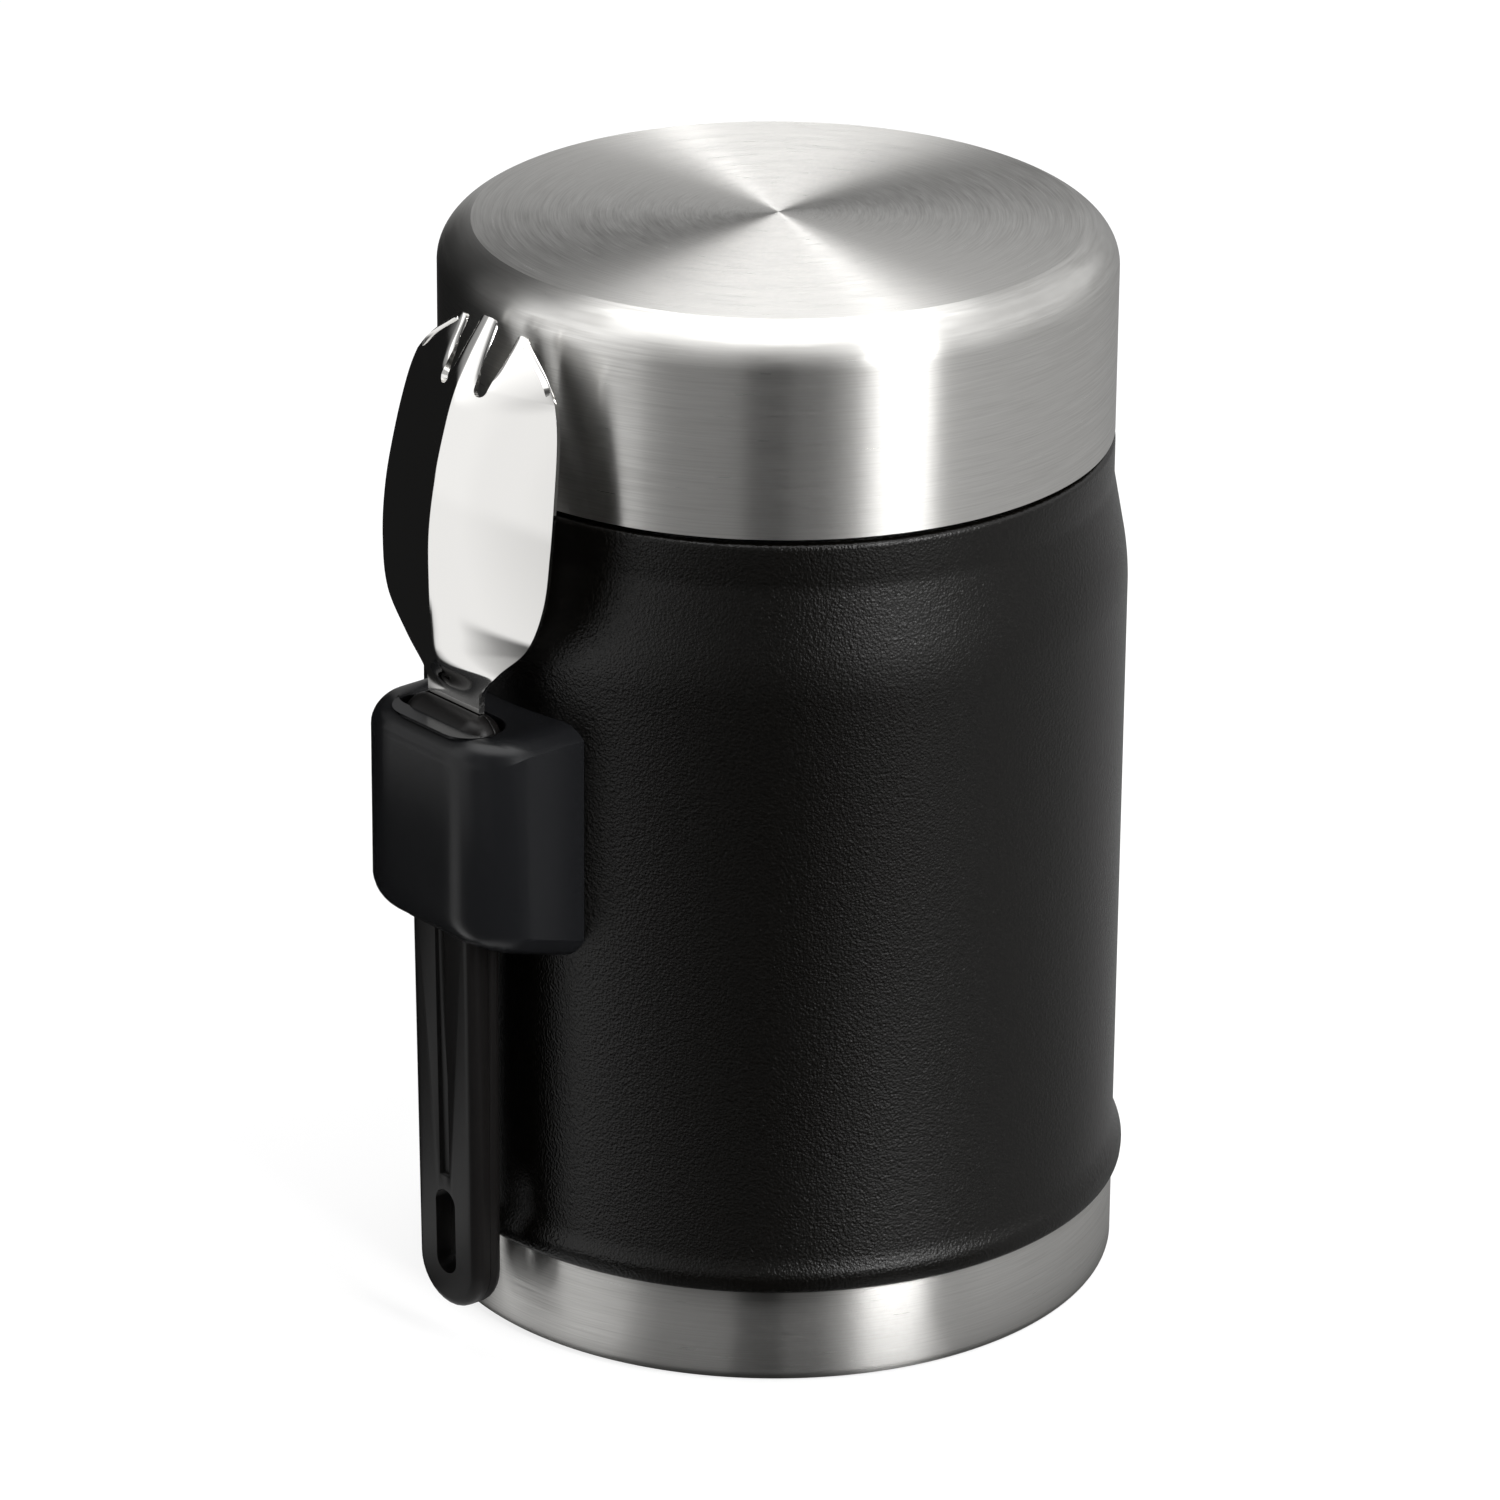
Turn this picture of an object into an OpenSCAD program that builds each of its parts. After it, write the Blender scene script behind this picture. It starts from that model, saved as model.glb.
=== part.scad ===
// Insulated food jar: a double-walled steel vessel with a screw lid, and a
// telescoping spork that stands in a moulded holder on the front (-Y) side.
// The origin is the centre of the base, on the surface the jar stands on.
// Radii are measured from the jar's axis. "Out" means towards -Y.

/* [Jar wall] */
// Diameter of the coated wall and of the bare base cup
body_d = 92; // [84:0.5:100]
// Thickness of the coated steel sheet
shell_t = 0.6; // [0.4:0.05:0.9]
// Height at which the wall starts to lean into the shoulder
shoulder_h = 95; // [88:0.5:97]
// Lean of the shoulder, in degrees
shoulder_lean = 10.5; // [8:0.5:14]
// Radius of the bend from wall to shoulder
shoulder_r = 38; // [30:1:42]
// Radius of the bend from shoulder to the upright band
band_bend_r = 8; // [5:0.5:10]
// How much smaller the upright band is than the wall, on radius
band_step = 2.1; // [1.8:0.1:2.4]
// Height of the upright band, from the shoulder's bend to the ledge
band_h = 5.1; // [4:0.1:7]
// Rounding of the ledge's outer edge
ledge_edge_r = 0.8; // [0.7:0.1:1.2]

/* [Hem bead] */
// Height of the coated shell's lower edge
hem_h = 13.2; // [11:0.1:13.5]
// Height of the bead's crest above the lower edge
bead_up = 1.8; // [1.5:0.1:2.2]
// How far the bead stands out from the wall
bead_out = 1.24; // [1:0.02:1.4]
// Height of the crease, where the bead meets the wall, above the crest
bead_rise = 5.2; // [4.4:0.1:6]
// Rounding under the bead
hem_r = 1.1; // [1:0.05:1.3]

/* [Base cup] */
// Thickness of the base cup's sheet
base_t = 0.6; // [0.4:0.05:0.9]
// Rounding of the base cup's foot
foot_r = 1.6; // [1.2:0.1:3]
// Width of the foot ring that the jar stands on
foot_w = 5; // [3.5:0.5:9]
// Depth of the recess inside the foot ring
foot_recess = 2; // [1:0.1:3]
// How far the collar, pressed up into the coated shell, passes the crease
collar_reach = 5.8; // [4:0.2:8]

/* [Vacuum walls] */
// Thickness of the closing disc under the vacuum
bottom_t = 0.6; // [0.4:0.05:0.9]
// Height of the closing disc
bottom_h = 9; // [8:0.25:10]
// Rounding of the closing disc's edge
bottom_r = 4.5; // [3:0.5:7]
// How far the closing disc's welded skirt passes the collar
skirt_reach = 6; // [4:0.5:10]
// Diameter of the seal under the closing disc
seal_d = 10; // [6:0.5:14]
// Thickness of the seal under the closing disc
seal_t = 1.2; // [0.8:0.1:1.6]
// Diameter of the getter tablet in the vacuum
getter_d = 12; // [8:0.5:16]
// Thickness of the getter tablet
getter_t = 2; // [1.2:0.1:3]
// Distance of the getter tablet from the axis
getter_off = 22; // [16:1:28]

/* [Food vessel] */
// Thickness of the food vessel's sheet
liner_t = 0.5; // [0.4:0.05:0.7]
// Vacuum gap between the closing disc and the food vessel's floor
floor_gap = 10; // [6:0.5:14]
// Rounding of the food vessel's floor corner
floor_r = 11; // [6:0.5:16]
// How far below the ledge the vessel starts to close in to the mouth
closein_drop = 14.7; // [13:0.1:20]
// How far the vessel closes in to the mouth, on radius
closein_step = 3.3; // [2:0.1:4]
// Radius of both bends of the vessel's shoulder
closein_r = 6; // [4:0.5:7]
// Rounding of the mouth's lip
lip_r = 1.1; // [0.9:0.1:1.3]
// Thickness of the foil round the food vessel
foil_t = 0.2; // [0.15:0.05:0.3]
// Distance of the foil's edges from the bends of the food vessel
foil_inset = 3; // [1:0.5:10]

/* [Threaded neck] */
// Width of the ledge between the band and the neck that carries the thread
ledge_w = 5.4; // [4.8:0.1:6]
// Width of the mouth's lip, from the bore to the outside of the neck
lip_w = 3.1; // [2.6:0.1:3.6]
// Thickness of the neck's sheet
neck_t = 0.6; // [0.4:0.05:0.8]
// Height of the mouth's rim above the ledge
rim_rise = 15.3; // [13:0.1:17]
// Width of the neck's welded flange, under the ledge
neck_flange_w = 3; // [2:0.25:3.5]

/* [Lid] */
// How much smaller the lid's steel cap is than the band, on radius
lid_inset = 0.05; // [0:0.05:0.3]
// Height of the lid's steel cap
lid_h = 28.2; // [27:0.1:30]
// Thickness of the lid's steel cap
lid_t = 0.5; // [0.4:0.05:0.7]
// Gap between the ledge and the closed lid
lid_gap = 0.7; // [0.5:0.05:0.9]
// Width of the rounding round the lid's top
lid_edge_w = 7.8; // [6:0.2:9]
// Height of the rounding round the lid's top
lid_edge_h = 6.2; // [5:0.2:7.5]
// Wall of the lid's threaded skirt
skirt_t = 2; // [1.5:0.1:2.2]
// Free play between neck and skirt, which the threads fill, on radius
thread_play = 0.8; // [0.6:0.05:1]
// Thickness of the skirt's bottom flange
skirt_flange_t = 2.2; // [1.6:0.1:3]
// Thickness of the plate across the skirt's top
plate_t = 2.4; // [1.8:0.1:3]
// Free play between the plug and the mouth, on radius
plug_play = 0.8; // [0.5:0.05:1]
// Depth that the plug reaches below the rim
plug_depth = 9.5; // [8:0.25:12]
// Wall of the plug
plug_t = 1.6; // [1.2:0.1:2]
// Rounding of the plug's lower edge
plug_r = 3; // [2:0.25:4]
// Height of the mouth seal
mouth_seal_h = 2.4; // [2:0.1:3]
// Width of the mouth seal's groove
mouth_seal_groove_w = 1.2; // [0.8:0.1:1.6]

/* [Spork holder] */
// Width of the holder
holder_w = 28; // [27:0.25:30]
// Wall of the holder outside the slot
holder_wall_t = 1.5; // [1.4:0.1:2.5]
// Height of the holder's top face
holder_top_h = 89.2; // [87:0.2:90]
// Height of the holder at the wall
holder_h = 33.2; // [30:0.2:36]
// How much higher the underside is at the outer face
holder_rise = 4.3; // [3:0.1:4.6]
// Plan radius of the holder's outer corners
holder_corner_r = 7.5; // [6:0.25:8]
// Rounding of the holder's top edge
holder_edge_r = 3.6; // [2.5:0.1:4]
// Rounding of the holder's bottom edge
holder_foot_r = 4.2; // [3:0.1:4.4]
// Play of the handle's head in its slot, on each side
slot_play = 0.55; // [0.4:0.05:0.7]
// Distance from the jar's wall to the slot
slot_back = 4.2; // [4.1:0.05:4.4]
// Chamfer round the slot's mouth
slot_chamfer = 0.8; // [0.5:0.1:0.9]
// Thickness of the slot's floor, which the handle's head stands on
slot_floor_t = 3.9; // [3:0.1:5]
// Thickness of the welded bracket behind the holder
bracket_t = 0.8; // [0.6:0.05:1]
// Width of the welded bracket
bracket_w = 21; // [19:0.25:22]
// Width of the bracket's raised bridge
bridge_w = 13; // [12:0.25:14]
// Height of the welded bracket
bracket_h = 18; // [16:0.5:19]
// Wall of the holder between bracket and slot
holder_back_t = 1.7; // [1.5:0.05:1.8]
// Distance between the two holder screws
screw_pitch = 10; // [9:0.25:11]
// Diameter of the holder screws' shanks
screw_d = 2.5; // [2:0.1:2.6]
// Diameter of the holder screws' heads
screw_head_d = 5; // [4.4:0.1:5.4]
// Thickness of the holder screws' heads
screw_head_t = 0.9; // [0.7:0.05:1]

/* [Spork handle] */
// Width of the handle's shank
shank_w = 12.3; // [12:0.1:12.6]
// Height of the handle's lower end
handle_low_h = 6; // [5:0.25:8]
// Thickness of the shank at its lower end
shank_low_t = 4.6; // [4.5:0.1:4.8]
// Thickness of the shank where it enters the holder
shank_top_t = 5.4; // [5.2:0.1:5.6]
// Rounding of the shank's edges
shank_edge_r = 1.3; // [1:0.1:1.5]
// Distance from the jar's wall to the back of the handle
handle_back = 5; // [4.8:0.05:5.2]
// Width of the handle's head
head_w = 15.9; // [15:0.1:17]
// Thickness of the handle's head
head_t = 7.2; // [6.8:0.1:7.4]
// Plan radius of the head's corners
head_r = 3.2; // [3:0.1:3.4]
// How far the head's crest, at the back, stands out of the holder
head_proud = 1.4; // [0.8:0.1:2]
// How much lower the head's front is than its crest
head_fall = 2.2; // [1.5:0.1:3]
// Width of the hanging hole
hole_w = 4; // [3.4:0.1:4.4]
// Length of the hanging hole
hole_len = 12; // [9:0.25:13]
// Height of the hanging hole above the handle's lower end
hole_up = 4.8; // [4.4:0.1:6]
// Width of the groove down the shank's outer face
groove_w = 2; // [1.4:0.1:2.6]
// Depth of the groove down the shank's outer face
groove_depth = 0.45; // [0.3:0.05:0.6]
// Diameter of the pins that join the handle's halves
dowel_d = 1.6; // [1.4:0.1:1.8]
// Length of the pins that join the handle's halves
dowel_len = 1; // [0.8:0.1:1.2]
// How far the shank reaches past the slot's floor, into the head
shank_bite = 1; // [0.6:0.2:1]

/* [Spork head] */
// Thickness of the spork's steel sheet
fork_t = 0.9; // [0.7:0.05:1]
// Wall of the handle's shank beside the stem
stem_wall = 0.85; // [0.7:0.05:1.2]
// Distance of the stem's lower end from the hanging hole
stem_rest = 8; // [5:0.5:12]
// Width of the spork's bowl
bowl_w = 31.4; // [28:0.2:33]
// Length of the spork from the handle to its tips
bowl_len = 50.5; // [46:0.5:53]
// Depth of the bowl
bowl_depth = 6.7; // [5.5:0.1:7.5]
// How far the tips lean in from the stem
bowl_lean = 6.95; // [6:0.1:7.2]
// Length of the slots between the tines
tine_slot_len = 9; // [7:0.25:10]
// Width of the tine slots at their closed end
tine_slot_w = 1.8; // [1.4:0.1:2]
// Width of the tine slots at their open end
tine_mouth_w = 4; // [3:0.1:4.2]
// Width of the middle tine at its root
tine_root_w = 5.2; // [4.6:0.1:5.6]
// Width of the middle tine at its tip
tine_tip_w = 2.4; // [2:0.1:3]
// Diameter of the stop pin riveted through the stem
stop_pin_d = 2.4; // [2:0.1:2.6]
// How far below the head's crest the stop pin ends its travel
stop_drop = 13; // [11:0.5:16]
// Thickness of the detent leaf that presses on the stem
leaf_t = 0.25; // [0.2:0.05:0.3]
// Length of the detent leaf
leaf_len = 9; // [7:0.5:10]
// Width of the detent leaf
leaf_w = 4; // [3:0.25:5]
// Bow of the detent leaf
leaf_bow = 0.25; // [0.15:0.05:0.3]

/* [Fits] */
// Gap between pressed or fastened pieces
fit = 0.05; // [0.03:0.01:0.08]
// Gap between sliding pieces
slide_gap = 0.2; // [0.15:0.01:0.25]
// Gap between packed inner pieces
pack_gap = 0.2; // [0.1:0.05:0.3]
// Gap between the closed lid's seal and what it closes on
seat_gap = 0.05; // [0.03:0.01:0.1]

/* [Hidden] */

// One overrun serves all cuts
cut = 1;
// Smoothness of true round forms, of hulls, and steps along a drawn arc
round_n = 96;
hull_n = 32;
arc_n = 8;
// Steps along and across the spork's bowl
bowl_rows = 34;
bowl_cols = 16;

// Radii of the turned pieces
body_r = body_d / 2;
band_r = body_r - band_step;
neck_r = band_r - ledge_w;
mouth_r = neck_r - lip_w;
liner_r = mouth_r + closein_step;
lid_r = band_r - lid_inset;
skirt_r = neck_r + thread_play;
plug_out_r = mouth_r - plug_play;
// The bead is an arc through the crease and the crest
bead_r = (bead_rise * bead_rise + bead_out * bead_out) / (2 * bead_out);
bead_h = hem_h + bead_up;
crease_h = bead_h + bead_rise;
// Degrees left off each end of the hem's rounding
hem_ease = 10;
// The shoulder bends in, runs straight at its lean, and bends up into the band
shoulder_lift = shoulder_r * sin(shoulder_lean);
slope_out = body_r - shoulder_r * (1 - cos(shoulder_lean));
slope_in = band_r + band_bend_r * (1 - cos(shoulder_lean));
slope_h = (slope_out - slope_in) / tan(shoulder_lean);
band_low_h = shoulder_h + shoulder_lift + slope_h + band_bend_r * sin(shoulder_lean);
ledge_h = band_low_h + band_h;
rim_h = ledge_h + rim_rise;
// Heights inside the jar
collar_top_h = crease_h + collar_reach;
bottom_top_h = collar_top_h + skirt_reach;
floor_h = bottom_h + bottom_t + floor_gap;
closein_h = ledge_h - closein_drop;
// Heights of the lid's pieces
lid_low_h = ledge_h + lid_gap;
lid_top_h = lid_low_h + lid_h;
plate_low_h = rim_h + mouth_seal_h + 2 * seat_gap;
plug_low_h = rim_h - plug_depth;
// Places of the holder, slot and handle, measured out from the axis
slot_w = head_w + 2 * slot_play;
slot_t = head_t + 2 * slot_play;
holder_out = slot_back + slot_t + holder_wall_t;
holder_face = body_r + holder_out;
slot_in = body_r + slot_back;
slot_mid = slot_in + slot_t / 2;
bracket_face = slot_in - holder_back_t;
shank_in = body_r + handle_back;
head_mid = slot_mid;
stem_mid = shank_in + shank_low_t / 2;
// Heights of the holder, and of the handle that stands in it
holder_low_h = holder_top_h - holder_h;
slot_floor_h = holder_low_h + holder_rise + slot_floor_t;
bracket_mid_h = (holder_top_h + slot_floor_h) / 2;
head_top_h = holder_top_h + head_proud;
hole_low_h = handle_low_h + hole_up;
hole_top_h = hole_low_h + hole_len;
// Places along the stem
stem_w = shank_w - 2 * stem_wall - 2 * slide_gap;
stem_top_h = head_top_h + slide_gap;
stem_low_h = hole_top_h + stem_rest;
stem_len = stem_top_h - stem_low_h;
stop_pin_h = stem_low_h + 2 * stop_pin_d;
stem_travel = head_top_h - stop_drop - stop_pin_h;
stem_out = stem_mid + fork_t / 2;
tip_h = stem_top_h + bowl_len;
// Where the screws sit, above and below the bracket's middle
screw_heights = [bracket_mid_h - screw_pitch / 2, bracket_mid_h + screw_pitch / 2];
screw_tip_in = body_r + fit;
// Pins that join the handle's halves: two in the head, one under the stem
dowel_side = (head_w + stem_w + 2 * slide_gap) / 4;
dowel_head_h = (slot_floor_h + holder_top_h) / 2;
dowel_low_h = (hole_top_h + stem_low_h) / 2;
// The leaf lies behind the stem, inside the head
leaf_mid_h = dowel_head_h;
leaf_pocket = leaf_t + leaf_bow;

// Shares of the spork's outline: height along bowl_len, half width of
// bowl_w, lean of bowl_lean, depth of bowl_depth, and how cupped the edge is
bowl_shares = [
    [0.000, 0.325, 0.000, 0.000, 0.0],
    [0.050, 0.350, 0.000, 0.030, 0.0],
    [0.129, 0.567, 0.036, 0.433, 0.6],
    [0.218, 0.854, 0.165, 0.672, 1.0],
    [0.337, 0.981, 0.324, 0.881, 1.0],
    [0.475, 1.000, 0.453, 1.000, 1.0],
    [0.614, 0.968, 0.612, 1.000, 1.0],
    [0.752, 0.911, 0.784, 0.896, 1.0],
    [0.832, 0.841, 0.871, 0.761, 0.8],
    [0.911, 0.713, 0.942, 0.507, 0.5],
    [1.000, 0.446, 1.000, 0.134, 0.0]];

// Points along an arc round centre c
function arc(c, rx, rz, from, to) =
    [for (i = [0:arc_n]) let (a = from + (to - from) * i / arc_n)
        [c[0] + rx * cos(a), c[1] + rz * sin(a)]];

function reversed(p) = [for (i = [len(p) - 1:-1:0]) p[i]];

// A path without its first point, to join it to one that ends there
function after_first(p) = [for (i = [1:len(p) - 1]) p[i]];

// Unit normal to the right of a path's segment
function side_of(p, i) = let (d = p[i + 1] - p[i]) [d[1], -d[0]] / norm(d);

// The path moved sideways by t, to its right
function shifted(p, t) = let (last = len(p) - 1)
    [for (i = [0:last])
        let (a = side_of(p, max(i - 1, 0)), b = side_of(p, min(i, last - 1)),
             m = (a + b) / norm(a + b))
        p[i] + t * m / (m * b)];

// A turned sheet of thickness t on the right of its path
module spun_sheet(p, t)
    rotate_extrude($fn = round_n) polygon(concat(p, reversed(shifted(p, t))));

module spun(p) rotate_extrude($fn = round_n) polygon(p);

// A plain turned ring between two radii and two heights
module ring(r_in, r_out, low, top)
    spun([[r_in, low], [r_out, low], [r_out, top], [r_in, top]]);

// Stands a flat drawing (x, height) upright, from one distance out to another
module upright(from, to)
    translate([0, -from, 0]) rotate([90, 0, 0]) linear_extrude(to - from) children();

// A plan outline with rounded corners, between two distances out
module plan_slot(w, from, to, r)
    translate([0, -(from + to) / 2])
        union() {
            square([w - 2 * r, to - from], center = true);
            square([w, to - from - 2 * r], center = true);
            for (x = [-1, 1], y = [-1, 1])
                translate([x * (w / 2 - r), y * ((to - from) / 2 - r)])
                    circle(r, $fn = round_n);
        }

// A stadium standing on its end, as a flat drawing
module stadium(w, low, top) {
    translate([-w / 2, low + w / 2]) square([w, top - low - w]);
    for (h = [low + w / 2, top - w / 2]) translate([0, h]) circle(w / 2, $fn = round_n);
}

// Outside of the coated shell, from the hem up to the ledge's inner edge
function shell_path() =
    let (crest = body_r + bead_out,
         dip = bead_up - hem_r,
         hem_out = crest - bead_r + sqrt(bead_r * bead_r - dip * dip))
    concat(
        arc([hem_out - hem_r, hem_h + hem_r], hem_r, hem_r, hem_ease - 90, -hem_ease),
        arc([crest - bead_r, bead_h], bead_r, bead_r, -asin(dip / bead_r),
            asin(bead_rise / bead_r)),
        arc([body_r - shoulder_r, shoulder_h], shoulder_r, shoulder_r, 0, shoulder_lean),
        reversed(arc([band_r + band_bend_r, band_low_h], band_bend_r, band_bend_r,
            180, 180 + shoulder_lean)),
        arc([band_r - ledge_edge_r, ledge_h - ledge_edge_r], ledge_edge_r,
            ledge_edge_r, 0, 90),
        [[neck_r + fit, ledge_h]]);

module outer_shell() {
    color([0.09, 0.085, 0.08]) spun_sheet(shell_path(), -shell_t);
}

module base_cup() {
    collar_r = body_r - shell_t - fit;
    joggle_h = (bead_h + crease_h) / 2 - base_t;
    foot_in = body_r - foot_r - foot_w;
    color([0.72, 0.71, 0.69]) spun_sheet(concat(
        [[0, foot_recess], [foot_in - foot_recess, foot_recess], [foot_in, 0]],
        arc([body_r - foot_r, foot_r], foot_r, foot_r, -90, 0),
        [[body_r, joggle_h - base_t], [collar_r, joggle_h + base_t],
         [collar_r, collar_top_h]]), -base_t);
}

module outer_bottom() {
    skirt_out = body_r - shell_t - fit;
    inside_collar = skirt_out - base_t - slide_gap;
    joggle_h = collar_top_h + base_t;
    color([0.6, 0.59, 0.57]) spun_sheet(concat(
        [[0, bottom_h]],
        arc([inside_collar - bottom_r, bottom_h + bottom_r], bottom_r, bottom_r, -90, 0),
        [[inside_collar, joggle_h], [skirt_out, joggle_h + base_t],
         [skirt_out, bottom_top_h]]), -bottom_t);
}

module vacuum_seal() {
    color([0.45, 0.42, 0.36]) translate([0, 0, bottom_h - seal_t])
        cylinder(d = seal_d, h = seal_t, $fn = round_n);
}

module getter() {
    color([0.35, 0.34, 0.33]) translate([0, getter_off, bottom_h + bottom_t])
        cylinder(d = getter_d, h = getter_t, $fn = round_n);
}

// Inside of the food vessel, from its floor to the edge of its lip
function liner_path() =
    let (half = closein_step / 2,
         turn = acos(1 - half / closein_r),
         rise = closein_r * sin(turn))
    concat(
        [[0, floor_h]],
        arc([liner_r - floor_r, floor_h + floor_r], floor_r, floor_r, -90, 0),
        arc([liner_r - closein_r, closein_h], closein_r, closein_r, 0, turn),
        after_first(reversed(arc([mouth_r + closein_r, closein_h + 2 * rise], closein_r,
            closein_r, 180, 180 + turn))),
        reversed(arc([mouth_r + lip_r, rim_h - lip_r], lip_r, lip_r, 90, 180)),
        [[neck_r, rim_h]]);

module inner_liner() {
    color([0.78, 0.77, 0.75]) spun_sheet(liner_path(), liner_t);
}

module foil_wrap() {
    r = liner_r + liner_t + pack_gap;
    color([0.72, 0.45, 0.3])
        ring(r, r + foil_t, floor_h + floor_r + foil_inset, closein_h - foil_inset);
}

module threaded_neck() {
    flange_top = ledge_h - shell_t;
    color([0.75, 0.74, 0.72]) spun([
        [neck_r - neck_t, flange_top - neck_t],
        [neck_r + neck_flange_w, flange_top - neck_t],
        [neck_r + neck_flange_w, flange_top],
        [neck_r, flange_top],
        [neck_r, rim_h - liner_t],
        [neck_r - neck_t, rim_h - liner_t]]);
}

// Hat-shaped bracket: two feet curved to the wall and a flat bridge
module holder_bracket() {
    color([0.6, 0.6, 0.6]) difference() {
        translate([0, 0, bracket_mid_h - bracket_h / 2]) linear_extrude(bracket_h) {
            intersection() {
                difference() {
                    circle(body_r + fit + bracket_t, $fn = round_n);
                    circle(body_r + fit, $fn = round_n);
                }
                for (x = [-1, 1])
                    translate([x * (bracket_w + bridge_w) / 4, -body_r])
                        square([(bracket_w - bridge_w) / 2, body_r], center = true);
            }
            for (x = [-1, 1])
                translate([x * (bridge_w - bracket_t) / 2, -(body_r + bracket_face) / 2])
                    square([bracket_t, bracket_face - body_r], center = true);
            translate([0, -bracket_face + bracket_t / 2])
                square([bridge_w, bracket_t], center = true);
        }
        for (h = screw_heights)
            translate([0, -body_r, h]) rotate([90, 0, 0])
                cylinder(d = screw_d + 2 * fit, h = holder_out, $fn = round_n);
    }
}

// Rounded puck whose hull makes the holder's corners
module puck(r, edge_r)
    rotate_extrude($fn = hull_n) intersection() {
        translate([r - edge_r, 0]) circle(edge_r, $fn = hull_n);
        translate([0, -edge_r]) square([r, 2 * edge_r]);
    }

module holder_housing() {
    slope = holder_rise / holder_out;
    far = holder_face - holder_corner_r;
    near = body_r - 2 * holder_corner_r;
    side = holder_w / 2 - holder_corner_r;
    shank_out = shank_in + shank_top_t;
    color([0.13, 0.13, 0.14]) difference() {
        hull() for (x = [-side, side], y = [near, far]) {
            translate([x, -y, holder_top_h - holder_edge_r])
                puck(holder_corner_r, holder_edge_r);
            translate([x, -y, holder_low_h + slope * (y - body_r + holder_corner_r) + holder_foot_r])
                puck(holder_corner_r, holder_foot_r);
        }
        cylinder(r = body_r + fit, h = holder_top_h + cut, $fn = round_n);
        translate([0, 0, slot_floor_h]) linear_extrude(holder_top_h)
            plan_slot(slot_w, slot_in, slot_in + slot_t, slot_t / 2 - fit);
        hull() for (e = [0, 1])
            translate([0, 0, holder_top_h - slot_chamfer * (1 - e)]) linear_extrude(fit)
                plan_slot(slot_w + 2 * e * slot_chamfer, slot_in - e * slot_chamfer,
                    slot_in + slot_t + e * slot_chamfer, slot_t / 2 - fit + e * slot_chamfer);
        linear_extrude(slot_floor_h + cut)
            plan_slot(shank_w + 4 * slide_gap, shank_in - 2 * slide_gap,
                shank_out + 2 * slide_gap, shank_edge_r);
        translate([-(bracket_w + slide_gap) / 2, -bracket_face - fit,
                   bracket_mid_h - (bracket_h + slide_gap) / 2])
            cube([bracket_w + slide_gap, bracket_face + fit, bracket_h + slide_gap]);
        for (h = screw_heights) {
            translate([0, -body_r, h]) rotate([90, 0, 0])
                cylinder(d = screw_d + 2 * fit, h = holder_out / 2, $fn = round_n);
            translate([0, -slot_in + screw_head_t, h]) rotate([90, 0, 0])
                cylinder(d = screw_head_d + 2 * fit, h = screw_head_t + cut, $fn = round_n);
        }
    }
}

module holder_screws() {
    color([0.55, 0.55, 0.55]) for (h = screw_heights) translate([0, 0, h]) rotate([90, 0, 0]) {
        translate([0, 0, slot_in - screw_head_t + fit])
            cylinder(d = screw_head_d, h = screw_head_t - 2 * fit, $fn = round_n);
        translate([0, 0, screw_tip_in])
            cylinder(d = screw_d, h = slot_in - screw_head_t + 2 * fit - screw_tip_in,
                $fn = round_n);
    }
}

// Inside-out order of the lid: cap, foam, threaded skirt, plug, seal
function lid_path() = concat(
    [[lid_r, lid_low_h]],
    arc([lid_r - lid_edge_w, lid_top_h - lid_edge_h], lid_edge_w, lid_edge_h, 0, 90),
    [[0, lid_top_h]]);

module lid_shell() {
    color([0.74, 0.73, 0.71]) spun_sheet(lid_path(), -lid_t);
}

module lid_liner() {
    low = lid_low_h + pack_gap;
    flange_r = lid_r - lid_t - fit;
    color([0.12, 0.12, 0.12]) spun([
        [skirt_r, low],
        [flange_r, low],
        [flange_r, low + skirt_flange_t],
        [skirt_r + skirt_t, low + skirt_flange_t],
        [skirt_r + skirt_t, plate_low_h + plate_t],
        [0, plate_low_h + plate_t],
        [0, plate_low_h],
        [skirt_r, plate_low_h]]);
}

module lid_foam() {
    low = lid_low_h + skirt_flange_t + 2 * pack_gap;
    wall = skirt_r + skirt_t + pack_gap;
    base = plate_low_h + plate_t + pack_gap;
    inside = shifted(lid_path(), -lid_t - pack_gap);
    color([0.93, 0.91, 0.82]) spun(concat(
        [[0, base], [wall, base], [wall, low], [inside[0][0], low]], after_first(inside)));
}

module lid_plug() {
    color([0.14, 0.14, 0.14]) spun_sheet(concat(
        [[0, plug_low_h]],
        arc([plug_out_r - plug_r, plug_low_h + plug_r], plug_r, plug_r, -90, 0),
        [[plug_out_r, plate_low_h]]), -plug_t);
}

module mouth_seal() {
    low = rim_h + seat_gap;
    top = low + mouth_seal_h;
    r_in = plug_out_r + pack_gap;
    r_out = skirt_r - pack_gap;
    mid = (r_in + r_out) / 2;
    half = mouth_seal_groove_w / 2;
    color([0.8, 0.8, 0.78]) spun([
        [r_in, low], [mid - half, low], [mid - half, low + half], [mid + half, low + half],
        [mid + half, low], [r_out, low], [r_out, top], [r_in, top]]);
}

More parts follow.
